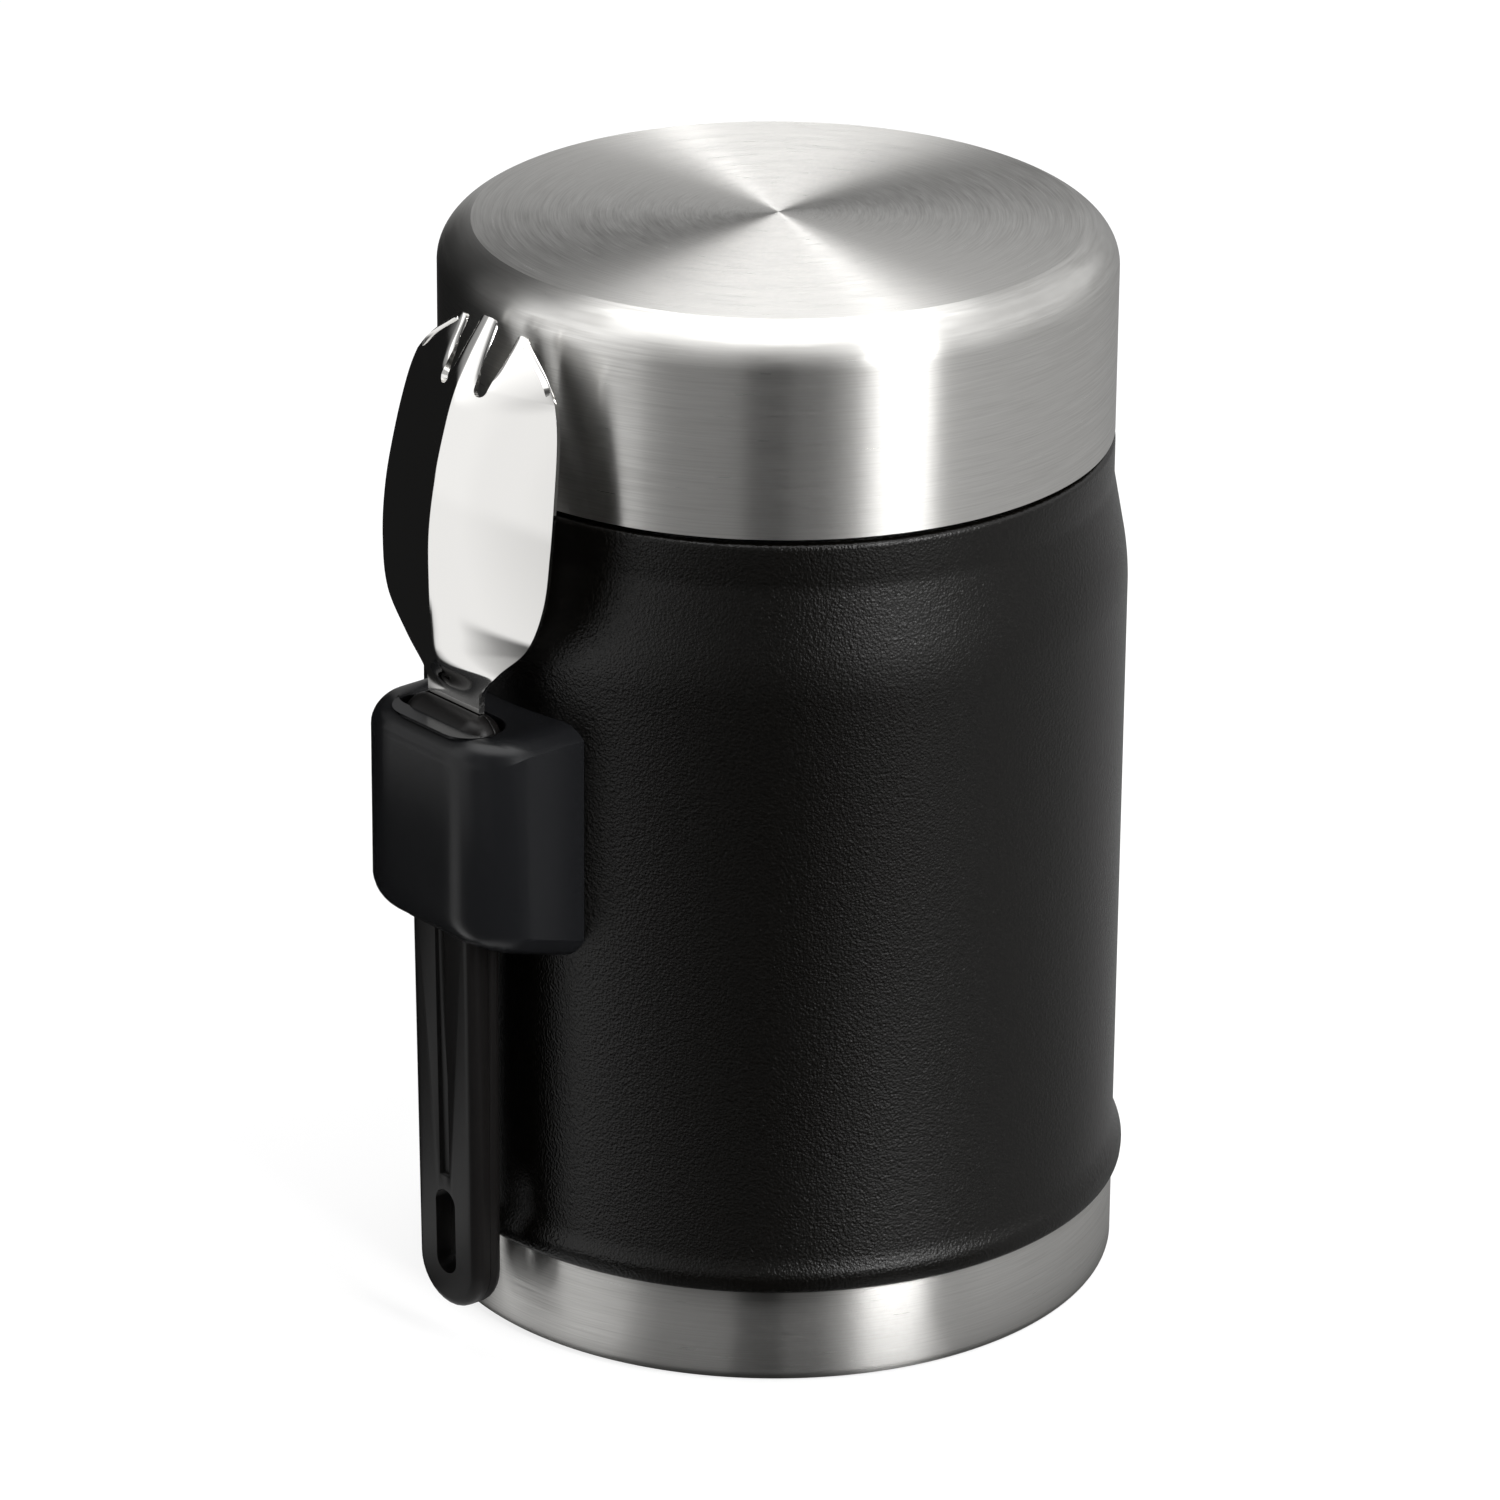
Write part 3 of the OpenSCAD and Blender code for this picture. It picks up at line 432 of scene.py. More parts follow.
def new_group(name, inputs, outputs):
    """An empty node group with number inputs and outputs; returns its tree and both ends."""
    tree = bpy.data.node_groups.new(name, "ShaderNodeTree")
    for label, default in inputs.items():
        socket = tree.interface.new_socket(label, in_out="INPUT", socket_type="NodeSocketFloat")
        socket.default_value = default
    for label in outputs:
        tree.interface.new_socket(label, in_out="OUTPUT", socket_type="NodeSocketFloat")
    return tree, tree.nodes.new("NodeGroupInput").outputs, tree.nodes.new("NodeGroupOutput").inputs


def build_turned_brushing():
    """Brush lines that run round the axis, on a wall and on a flat top alike."""
    tree, given, result = new_group(
        "Turned Brushing", {"Pitch": 0.2 * MM, "Length": 4.0, "Seed": 0.0}, ("Lines", "Bands")
    )
    place = add_node(tree, "TexCoord").outputs["Object"]
    axes = add_node(tree, "SeparateXYZ", {0: place}).outputs
    square = maths(tree, "MULTIPLY_ADD", axes[0], axes[0], maths(tree, "MULTIPLY", axes[1], axes[1]))
    radius = maths(tree, "MAXIMUM", maths(tree, "SQRT", square), 0.01 * MM)
    east = maths(tree, "MULTIPLY", maths(tree, "DIVIDE", axes[0], radius), given["Length"])
    north = maths(tree, "MULTIPLY", maths(tree, "DIVIDE", axes[1], radius), given["Length"])
    north = maths(tree, "ADD", north, given["Seed"])
    across = maths(tree, "DIVIDE", maths(tree, "ADD", radius, axes[2]), given["Pitch"])
    # The bands are wider than the lines by the scale's inverse
    for label, scale, detail in (("Lines", 1.0, 2.0), ("Bands", 0.17, 3.0)):
        parts = {0: maths(tree, "MULTIPLY", across, scale), 1: east, 2: north}
        spot = add_node(tree, "CombineXYZ", parts).outputs[0]
        noise = add_node(
            tree, "TexNoise", {"Vector": spot, "Scale": 1.0, "Detail": detail, "Roughness": 0.6}
        )
        tree.links.new(noise.outputs["Fac"], result[label])


def build_fine_grain():
    """Grain of a coat or a moulding: rounded grains, and fewer bright specks."""
    tree, given, result = new_group(
        "Fine Grain", {"Size": 0.4 * MM, "Speck Size": 0.3 * MM}, ("Grain", "Specks", "Drift")
    )
    place = add_node(tree, "TexCoord").outputs["Object"]
    per_size = maths(tree, "DIVIDE", 1.0, given["Size"])
    per_speck = maths(tree, "DIVIDE", 1.0, given["Speck Size"])
    grain = add_node(
        tree, "TexNoise", {"Vector": place, "Scale": per_size, "Detail": 3.0, "Roughness": 0.55}
    )
    specks = add_node(tree, "TexVoronoi", {"Vector": place, "Scale": per_speck}, feature="F1")
    drift_scale = maths(tree, "MULTIPLY", per_size, 0.015)
    drift = add_node(tree, "TexNoise", {"Vector": place, "Scale": drift_scale, "Detail": 2.0})
    tree.links.new(grain.outputs["Fac"], result["Grain"])
    tree.links.new(specks.outputs["Distance"], result["Specks"])
    tree.links.new(drift.outputs["Fac"], result["Drift"])


def empty_tree(owner):
    """The shader tree of a material or world, switched on and cleared."""
    owner.use_nodes = True
    owner.node_tree.nodes.clear()
    return owner.node_tree


def new_material(name, base, **constants):
    """A slot's tree and its shader; the constants set the shader's own sockets."""
    tree = empty_tree(bpy.data.materials.get(name) or bpy.data.materials.new(name))
    shader = add_node(tree, "BsdfPrincipled", {"Base Color": (*base, 1.0)})
    add_node(tree, "OutputMaterial", {0: shader.outputs[0]})
    for label, value in constants.items():
        shader.inputs[label.replace("_", " ")].default_value = value
    return tree, shader


def feed(shader, label, socket):
    """Joins a socket to one of the shader's inputs."""
    shader.id_data.links.new(socket, shader.inputs[label])


def feed_roughness(shader, mask, roughness, change):
    """Lets a mask move the roughness either way; with a change below 0 it falls as the mask rises."""
    feed(shader, "Roughness", mapped(shader.id_data, mask, roughness - change, roughness + change))


def placed_group(tree, name, **values):
    """A node group placed in a material with its own values."""
    node = add_node(tree, "Group", node_tree=bpy.data.node_groups[name])
    for label, value in values.items():
        node.inputs[label.replace("_", " ")].default_value = value
    return node.outputs


def feed_bump(shader, height, distance, strength):
    """Feeds a bump to the shader's normal."""
    inputs = {"Height": height, "Distance": distance, "Strength": strength}
    feed(shader, "Normal", add_node(shader.id_data, "Bump", inputs).outputs["Normal"])


def make_coated_steel(finish):
    """Black powder coat: fine rounded grains that break the highlights into sparkle."""
    roughness, size = 0.26, finish.coat_grain
    tree, shader = new_material(
        "coated_steel", finish.coat, Roughness=roughness, Specular_IOR_Level=0.36
    )
    grain = placed_group(tree, "Fine Grain", Size=size, Speck_Size=0.8 * size)
    tint = mapped(tree, grain["Grain"], 0.75, 1.35, from_low=0.3, from_high=0.7)
    shade = mixed_colour(tree, tint, (0.0, 0.0, 0.0), finish.coat, clamp_factor=False)
    feed(shader, "Base Color", shade)
    feed_roughness(shader, grain["Drift"], roughness, change=0.03)
    height = maths(tree, "MULTIPLY_ADD", grain["Specks"], 0.45, grain["Grain"])
    feed_bump(shader, height, distance=0.1 * MM, strength=0.85)


def make_turned_steel(name, finish, seed):
    """Steel brushed round the axis, whose highlights spread across the brush lines."""
    roughness = finish.brush_roughness
    # How far the lines' values reach to either side of their middle, 0.5
    spread = 0.22
    tree, shader = new_material(
        name, finish.steel_light, Metallic=1.0, Anisotropic=1.0, Anisotropic_Rotation=0.25,
        Roughness=roughness,
    )
    lines = placed_group(tree, "Turned Brushing", Pitch=finish.brush_pitch, Seed=seed)
    bands = maths(tree, "MULTIPLY", lines["Bands"], 0.3)
    both = maths(tree, "MULTIPLY_ADD", lines["Lines"], 0.7, bands)
    mask = mapped(tree, both, 0.0, 1.0, from_low=0.5 - spread, from_high=0.5 + spread)
    feed(shader, "Base Color", mixed_colour(tree, mask, finish.steel_dark, finish.steel_light))
    feed_roughness(shader, mask, roughness, change=-0.07)
    feed(shader, "Tangent", add_node(tree, "Tangent", direction_type="RADIAL", axis="Z").outputs[0])
    feed_bump(shader, both, distance=0.004 * MM, strength=0.5)


def make_plain_steel(finish):
    """Drawn steel sheet inside the jar: soft reflections and faint handling marks."""
    tree, shader = new_material("plain_steel", finish.steel_light, Metallic=1.0, Roughness=0.28)
    grain = placed_group(tree, "Fine Grain", Size=0.5 * MM, Speck_Size=0.5 * MM)
    lines = placed_group(tree, "Turned Brushing", Pitch=0.3 * MM, Seed=4.0)
    drift = mixed_colour(tree, grain["Drift"], finish.steel_dark, finish.steel_light)
    feed(shader, "Base Color", drift)
    feed(shader, "Roughness", mapped(tree, lines["Lines"], 0.22, 0.36))
    feed_bump(shader, lines["Bands"], distance=0.004 * MM, strength=0.4)


def make_polished_steel(finish):
    """Mirror-polished steel with faint polishing marks and handling haze."""
    tree, shader = new_material("polished_steel", finish.mirror, Metallic=1.0, Roughness=0.07)
    grain = placed_group(tree, "Fine Grain", Size=0.9 * MM, Speck_Size=0.5 * MM)
    place = add_node(tree, "TexCoord").outputs["Object"]
    drawn = add_node(tree, "Mapping", {"Vector": place, "Scale": (4000.0, 4000.0, 320.0)})
    noise = add_node(tree, "TexNoise", {"Vector": drawn.outputs[0], "Scale": 1.0, "Detail": 2.0})
    marks = noise.outputs["Fac"]
    haze = maths(tree, "MULTIPLY_ADD", marks, 0.35, grain["Drift"])
    roughness = mapped(tree, haze, 0.045, 0.12, from_low=0.3, from_high=1.1)
    feed(shader, "Roughness", roughness)
    feed_bump(shader, marks, distance=0.0012 * MM, strength=0.35)


def make_moulding(name, base, roughness, grain_size, bump, level):
    """Moulded plastic with a fine spark-eroded grain."""
    tree, shader = new_material(name, base, Roughness=roughness, Specular_IOR_Level=level)
    grain = placed_group(tree, "Fine Grain", Size=grain_size, Speck_Size=0.7 * grain_size)
    darker = [0.8 * part for part in base]
    lighter = [1.25 * part for part in base]
    feed(shader, "Base Color", mixed_colour(tree, grain["Grain"], darker, lighter))
    feed_roughness(shader, grain["Drift"], roughness, change=0.05)
    feed_bump(shader, grain["Grain"], distance=bump, strength=0.5)


def make_silicone(finish):
    """Milky silicone that lets some light in."""
    tree, shader = new_material(
        "silicone", finish.silicone, Roughness=0.4, Subsurface_Weight=0.3, Subsurface_Scale=2 * MM
    )
    grain = placed_group(tree, "Fine Grain", Size=0.6 * MM, Speck_Size=0.5 * MM)
    feed(shader, "Roughness", mapped(tree, grain["Drift"], 0.34, 0.48))
    feed_bump(shader, grain["Grain"], distance=0.01 * MM, strength=0.3)


def make_foam(finish):
    """Rigid foam with open cells."""
    tree, shader = new_material("foam", finish.foam, Roughness=0.9)
    grain = placed_group(tree, "Fine Grain", Size=1.2 * MM, Speck_Size=0.9 * MM)
    darker = [0.7 * part for part in finish.foam]
    feed(shader, "Base Color", mixed_colour(tree, grain["Specks"], darker, finish.foam))
    feed_bump(shader, grain["Specks"], distance=0.3 * MM, strength=0.8)


def make_plain_metal(name, base, roughness, grain_size):
    """Dull or bright metal with a slightly uneven surface, for pieces sealed in the jar."""
    tree, shader = new_material(name, base, Metallic=1.0, Roughness=roughness)
    grain = placed_group(tree, "Fine Grain", Size=grain_size, Speck_Size=grain_size)
    feed_roughness(shader, grain["Grain"], roughness, change=0.1)
    feed_bump(shader, grain["Grain"], distance=0.05 * MM, strength=0.4)


def material(name):
    """A material made by the finishes operator."""
    return bpy.data.materials[name]


def dress(piece, finish_name, body, *nodes):
    """Gives a piece its material and body, and lets it stand for CAD nodes."""
    piece.data.materials.clear()
    piece.data.materials.append(material(finish_name))
    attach(piece, body)
    if nodes:
        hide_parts(*nodes)


def paint(finish_name, *nodes):
    """Gives the CAD nodes that stay in the scene a material."""
    for node in nodes:
        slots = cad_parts[node].data.materials
        if not slots:
            slots.append(material(finish_name))
        for i in range(len(slots)):
            slots[i] = material(finish_name)


# Operators


class JAR_OT_finishes(bpy.types.Operator):
    """Build the shared effects and every material"""

    bl_idname = "jar.finishes"
    bl_label = "Finishes"

    def execute(self, context):
        finish = settings("jar_finishes")
        build_turned_brushing()
        build_fine_grain()
        make_coated_steel(finish)
        make_turned_steel("lid_steel", finish, seed=0.0)
        make_turned_steel("brushed_steel", finish, seed=9.0)
        make_plain_steel(finish)
        make_polished_steel(finish)
        make_moulding(
            "holder_plastic", finish.holder, roughness=0.22, grain_size=0.12 * MM, bump=0.008 * MM,
            level=0.25,
        )
        make_moulding(
            "handle_plastic", finish.handle, roughness=0.32, grain_size=0.2 * MM, bump=0.004 * MM,
            level=0.2,
        )
        make_moulding(
            "lid_plastic", finish.inside, roughness=0.4, grain_size=0.2 * MM, bump=0.008 * MM, level=0.5
        )
        make_silicone(finish)
        make_foam(finish)
        make_plain_metal("foil", finish.foil, roughness=0.25, grain_size=3 * MM)
        make_plain_metal("getter_metal", finish.getter, roughness=0.6, grain_size=0.5 * MM)
        make_plain_metal("seal_metal", finish.solder, roughness=0.5, grain_size=1 * MM)
        return {"FINISHED"}


class JAR_OT_body(bpy.types.Operator):
    """Turn the coated body and the brushed base cup"""

    bl_idname = "jar.body"
    bl_label = "Body and base"

    def body_path(self, jar):
        """Outside of the coated shell, from the hem up to the ledge's inner edge."""
        wall = jar.wall_radius
        hem = SHELL_LOW.z
        crest = SHELL_HIGH.x
        ledge = SHELL_HIGH.z
        band = wall - jar.band_step
        bead_out = crest - wall
        bead_height = hem + jar.bead_up
        bead_r = (jar.bead_rise**2 + bead_out**2) / (2 * bead_out)
        dip = jar.bead_up - jar.hem_round
        hem_out = crest - bead_r + math.sqrt(bead_r**2 - dip**2)
        low_turn = math.degrees(math.asin(dip / bead_r))
        flank = jar.bead_flank
        flank_r = (bead_out - jar.bead_rise * math.tan(flank)) / (
            1 - math.cos(flank) - math.sin(flank) * math.tan(flank)
        )
        lean = math.degrees(jar.shoulder_lean)
        drop = 1 - math.cos(jar.shoulder_lean)
        lift = jar.shoulder_bend * math.sin(jar.shoulder_lean)
        slope_out = wall - jar.shoulder_bend * drop
        slope_in = band + jar.band_bend * drop
        slope = (slope_out - slope_in) / math.tan(jar.shoulder_lean)
        band_low = jar.shoulder_height + lift + slope + jar.band_bend * math.sin(jar.shoulder_lean)
        hem_r, ledge_r = jar.hem_round, jar.ledge_round
        # Hem, both flanks of the bead, shoulder, band and ledge
        return (
            bend(hem_out - hem_r, hem + hem_r, hem_r, -80, -10, 8)
            + bend(crest - bead_r, bead_height, bead_r, -low_turn, 0, 6)
            + bend(crest - flank_r, bead_height, flank_r, 0, math.degrees(flank), 12)
            + [(wall, bead_height + jar.bead_rise)]
            + bend(wall - jar.shoulder_bend, jar.shoulder_height, jar.shoulder_bend, 0, lean, 12)
            + bend(band + jar.band_bend, band_low, jar.band_bend, 180 + lean, 180, 8)
            + bend(band - ledge_r, ledge - ledge_r, ledge_r, 0, 90, 10)
            + [(band - jar.ledge_width + jar.fit, ledge)]
        )

    def cup_path(self, jar):
        """Outside of the base cup, from its middle up to the collar's top."""
        wall = jar.wall_radius
        collar = wall - jar.sheet - jar.fit
        foot_r = jar.foot_round
        foot_in = wall - foot_r - jar.foot_width
        joggle = SHELL_LOW.z + jar.bead_up + jar.bead_rise / 2 - jar.sheet
        return (
            [(0.0, jar.foot_recess), (foot_in - jar.foot_recess, jar.foot_recess), (foot_in, 0.0)]
            + bend(wall - foot_r, foot_r, foot_r, -90, 0, 12)
            + [(wall, joggle - jar.sheet), (collar, joggle + jar.sheet), (collar, CUP_HIGH.z)]
        )

    def execute(self, context):
        jar = settings("jar_sizes")
        shell = turned("coated_body", self.body_path(jar), -jar.sheet)
        dress(shell, "coated_steel", "jar", "outer_shell")
        cup = turned("base_band", self.cup_path(jar), -jar.sheet)
        dress(cup, "brushed_steel", "jar", "base_cup")
        return {"FINISHED"}


class JAR_OT_neck(bpy.types.Operator):
    """Finish the neck and vessel and add the neck's thread"""

    bl_idname = "jar.neck"
    bl_label = "Neck and vessel"

    def execute(self, context):
        lid = settings("lid_sizes")
        paint("plain_steel", "inner_liner", "threaded_neck", "outer_bottom")
        paint("plain_steel", "holder_bracket", "holder_screws")
        paint("foil", "foil_wrap")
        paint("getter_metal", "getter")
        paint("seal_metal", "vacuum_seal")
        low = SHELL_HIGH.z + lid.thread_width
        ridge = thread("neck_thread", lid, lid.neck_radius, low, side=1)
        dress(ridge, "plain_steel", "jar")
        return {"FINISHED"}


class JAR_OT_lid(bpy.types.Operator):
    """Turn the lid's cap and finish what is inside it"""

    bl_idname = "jar.lid"
    bl_label = "Lid"

    def execute(self, context):
        lid = settings("lid_sizes")
        top = LID_HIGH.z
        centre = (lid.radius - lid.edge_width, top - lid.edge_height)
        radii = (lid.edge_width, lid.edge_height)
        rounding = arc(centre, radii, 0, math.degrees(lid.edge_turn), 24)
        crease, crease_height = rounding[-1]
        dome_steps = 12
        dome = []
        for i in range(1, dome_steps + 1):
            out = 1 - i / dome_steps
            dome.append((crease * out, top - (top - crease_height) * out**2))
        path = [(lid.radius, LID_LOW.z)] + rounding + dome
        cap = turned("lid_cap", path, -lid.sheet, sharp=6)
        dress(cap, "lid_steel", "lid", "lid_shell")
        paint("lid_plastic", "lid_liner", "lid_plug")
        paint("foam", "lid_foam")
        paint("silicone", "mouth_seal")
        low = SHELL_HIGH.z + lid.thread_width + lid.thread_lead / 2
        ridge = thread("lid_thread", lid, lid.skirt_radius, low, side=-1)
        dress(ridge, "lid_plastic", "lid")
        return {"FINISHED"}


class JAR_OT_holder(bpy.types.Operator):
    """Loft the moulded holder round its slot"""

    bl_idname = "jar.holder"
    bl_label = "Holder"

    # Steps of a ring's corners and sides, and of the rounding from a face to the top or bottom
    steps = 10
    edge_steps = 8
    # Growth and depth of the rings of the slot's chamfer, as shares of it
    chamfer_rings = ((1.0, 0.0), (0.3, 0.3), (0.0, 1.0))

    def ring(self, half, back, front, back_round, front_round):
        """Points (x, out) round a plan outline, from its back right corner; no back for the wall."""
        wall = settings("jar_sizes").wall_radius + settings("jar_sizes").fit
        n = self.steps

        def at_wall(x):
            return math.sqrt(wall**2 - x**2)

        corners = [
            (half, back, back_round, 0), (-half, back, back_round, 90),
            (-half, front, front_round, 180), (half, front, front_round, 270),
        ]
        outline = []
        for x, out, r, start in corners:
            if out is None:
                outline.append([(x, at_wall(x))] * (n + 1))
                continue
            centre = (x - math.copysign(r, x), out + (r if out == back else -r))
            points = []
            for i in range(n + 1):
                angle = math.radians(start + 90 * i / n)
                points.append((centre[0] + r * math.cos(angle), centre[1] - r * math.sin(angle)))
            outline.append(points)
        ring = []
        for i, corner in enumerate(outline):
            ring += corner
            first, last = corner[-1], outline[(i + 1) % 4][0]
            for j in range(1, n):
                x = first[0] + (last[0] - first[0]) * j / n
                out = first[1] + (last[1] - first[1]) * j / n
                if i == 0 and back is None:
                    out = at_wall(x)
                ring.append((x, out))
        return ring

    def execute(self, context):
        h = settings("holder_sizes")
        wall = settings("jar_sizes").wall_radius
        half, face = HOLDER_HIGH.x, -HOLDER_LOW.y
        low, top = HOLDER_LOW.z, HOLDER_HIGH.z
        slope = h.rise / (face - wall)
        slot_in = wall + h.slot_back
        slot_out = slot_in + h.slot_depth
        rings = []

        def outer(share_done, soft, side_lift, low_end):
            """One ring of the outer skin: rounded at the front, bevelled at the sides."""
            plain = self.ring(half, None, face, 0, h.corner)
            inner = self.ring(half - soft, None, face - soft, 0, h.corner - soft)
            ring = []
            for (x, out), (x_in, out_in) in zip(plain, inner):
                front = max(0.0, min(1.0, (out - face + h.corner) / h.corner))
                front = front**2 * (3 - 2 * front)
                first = (1 - front) * h.bevel
                angle = first + (math.pi / 2 - first) * share_done
                inset = (math.cos(first) - math.cos(angle)) / math.cos(first)
                lift = (1 - math.sin(angle)) / (1 - math.sin(first))
                lift *= side_lift + (soft - side_lift) * front
                x += (x_in - x) * inset
                out += (out_in - out) * inset
                under = low + slope * (out - wall)
                ring.append((x, -out, under + lift if low_end else top - lift))
            rings.append(ring)

        def slot_ring(grow, height):
            """One ring of the slot's wall, wider than the slot by that growth."""
            r = h.slot_depth / 2 + grow - h.slot_flat
            points = self.ring(h.slot_width / 2 + grow, slot_in - grow, slot_out + grow, r, r)
            rings.append([(x, -out, height) for x, out in points])

        def shank_ring(height=None):
            """One ring of the opening for the shank; without a height it lies in the underside."""
            r = h.shank_round
            points = self.ring(h.shank_width / 2, h.shank_in, h.shank_out, r, r)
            rings.append([(x, -out, height or low + slope * (out - wall)) for x, out in points])

        for i in range(self.edge_steps + 1):
            outer(1 - i / self.edge_steps, h.foot, h.side_foot, True)
        for i in range(self.edge_steps + 1):
            outer(i / self.edge_steps, h.edge, h.side_edge, False)
        for grow, drop in self.chamfer_rings:
            slot_ring(grow * h.chamfer, top - drop * h.chamfer)
        slot_ring(0.0, h.slot_floor)
        shank_ring(h.slot_floor)
        shank_ring()
        housing = lofted("spork_holder", rings, sharp=28)
        add_bevel(housing, h.bevel_width, h.bevel_from)
        dress(housing, "holder_plastic", "jar", "holder_housing")
        return {"FINISHED"}


class JAR_OT_handle(bpy.types.Operator):
    """Copy the handle's halves with smooth faces"""

    bl_idname = "jar.handle"
    bl_label = "Handle"

    def execute(self, context):
        for node in ("handle_front", "handle_back"):
            half = copy_of_node(node + "_moulding", node)
            dress(half, "handle_plastic", "spork_handle", node)
        paint("plain_steel", "detent_leaf")
        paint("polished_steel", "stop_pin")
        return {"FINISHED"}


class JAR_OT_spork(bpy.types.Operator):
    """Shape the spork's sheet: bowl, tines and stem"""

    bl_idname = "jar.spork"
    bl_label = "Spork"

    # Height along the bowl, half width, lean and depth, as shares of the sizes
    shares = [
        (0.000, 0.325, 0.000, 0.000),
        (0.050, 0.350, 0.000, 0.030),
        (0.129, 0.567, 0.036, 0.433),
        (0.218, 0.854, 0.165, 0.672),
        (0.337, 0.981, 0.324, 0.881),
        (0.475, 1.000, 0.453, 1.000),
        (0.614, 0.968, 0.612, 1.000),
        (0.752, 0.911, 0.784, 0.896),
        (0.832, 0.841, 0.871, 0.761),
        (0.911, 0.713, 0.942, 0.507),
        (1.000, 0.446, 1.000, 0.134),
    ]

    # Rows of points over the stem, the bowl, the slots' round ends and the tines, and points
    # across a side tine and the middle tine
    stem_rows, bowl_rows, root_rows, tine_rows = 20, 110, 10, 30
    side_points, middle_points = 30, 22

    def slope(self, i):
        """Slope of the table's curves at row i."""
        a = max(i - 1, 0)
        b = min(i + 1, len(self.shares) - 1)
        run = self.shares[b][0] - self.shares[a][0]
        return [(q - p) / run for p, q in zip(self.shares[a], self.shares[b])]

    def at(self, s):
        """Half width, lean and depth on a smooth curve through the table."""
        i = 0
        while i < len(self.shares) - 2 and s >= self.shares[i + 1][0]:
            i += 1
        run = self.shares[i + 1][0] - self.shares[i][0]
        q = (s - self.shares[i][0]) / run
        first, second = self.slope(i), self.slope(i + 1)
        values = []
        for k in range(1, 4):
            values.append(
                (2 * q**3 - 3 * q**2 + 1) * self.shares[i][k]
                + (q**3 - 2 * q**2 + q) * run * first[k]
                + (3 * q**2 - 2 * q**3) * self.shares[i + 1][k]
                + (q**3 - q**2) * run * second[k]
            )
        return values

    def section(self, spork, z):
        """Half width, place of the rim and depth of the bowl at height z."""
        s = max((z - spork.neck_height) / (SPORK_HIGH.z - spork.neck_height), 0.0)
        width_share, lean, depth = self.at(s)
        half = width_share * spork.bowl_width / 2 + depth * spork.bowl_spread
        rim = spork.stem_out - lean * spork.bowl_lean + depth * spork.bowl_spread
        return half, rim, depth

    def slot_edges(self, spork, z, root_z, tip_z):
        """Inner and outer distance of a tine slot's edges from the middle, at height z."""
        middle = spork.tine_root / 2 + spork.slot_root / 2
        r = spork.slot_root / 2
        if z <= root_z:
            half = math.sqrt(max(r**2 - (root_z - z) ** 2, 0.0))
            return middle - half, middle + half
        q = (z - root_z) / (tip_z - root_z)
        inner = (middle - r) * (1 - q) + spork.tine_tip / 2 * q
        outer = (middle + r) * (1 - q) + (spork.tine_tip / 2 + spork.slot_mouth) * q
        return inner, outer

    def execute(self, context):
        spork = settings("spork_sizes")
        neck, tip, foot = spork.neck_height, SPORK_HIGH.z, SPORK_LOW.z
        root_z = tip - spork.slot_length
        r = spork.slot_root / 2
        split_z = root_z - r
        split_half = self.section(spork, split_z)[0]
        heights = [foot + (neck - foot) * i / self.stem_rows for i in range(self.stem_rows)]
        heights += [neck + (split_z - neck) * i / self.bowl_rows for i in range(self.bowl_rows)]
        for i in range(self.root_rows + 1):
            heights.append(root_z - r * math.cos(math.pi / 2 * i / self.root_rows))
        for i in range(1, self.tine_rows + 1):
            heights.append(root_z + (tip - root_z) * i / self.tine_rows)
        bm = bmesh.new()
        rows = []
        for z in heights:
            half, rim, depth = self.section(spork, z)
            inner, outer = self.slot_edges(spork, max(z, split_z), root_z, tip)
            if z < split_z:
                inner = outer = inner * half / split_half
            guides = [-half, -outer, -inner, inner, outer, half]
            guides = [math.asin(max(-1.0, min(1.0, g / half))) for g in guides]
            risen = max(0.0, (z - root_z) / (tip - root_z))
            row = []
            for start, end, count, drop in (
                (guides[0], guides[1], self.side_points, spork.side_drop),
                (guides[2], guides[3], self.middle_points, spork.middle_drop),
                (guides[4], guides[5], self.side_points, spork.side_drop),
            ):
                points = []
                width = half * (math.sin(end) - math.sin(start))
                tip_r = min(spork.tip_round, width / 2)
                for i in range(count + 1):
                    across = math.sin(start + (end - start) * i / count)
                    swell = max(1 - abs(across) ** spork.crest, 0.0)
                    out = rim + depth * spork.bowl_depth * swell
                    edge = min(across - math.sin(start), math.sin(end) - across) * half
                    lack = max(0.0, tip_r - edge)
                    fall = drop + tip_r - math.sqrt(max(tip_r**2 - lack**2, 0.0))
                    points.append(bm.verts.new((half * across, -out, z - fall * risen)))
                row.append(points)
            rows.append(row)
        for low_row, high_row in zip(rows, rows[1:]):
            for low_strip, high_strip in zip(low_row, high_row):
                for i in range(len(low_strip) - 1):
                    bm.faces.new((low_strip[i], low_strip[i + 1], high_strip[i + 1], high_strip[i]))
        sheet = finish_mesh("spork_steel", bm, sharp=50)
        body = sheet.modifiers.new("Sheet", "SOLIDIFY")
        body.thickness = spork.sheet
        body.offset = -1.0
        body.use_even_offset = True
        add_bevel(sheet, spork.edge_bevel)
        dress(sheet, "polished_steel", "spork", "spork_head")
        return {"FINISHED"}


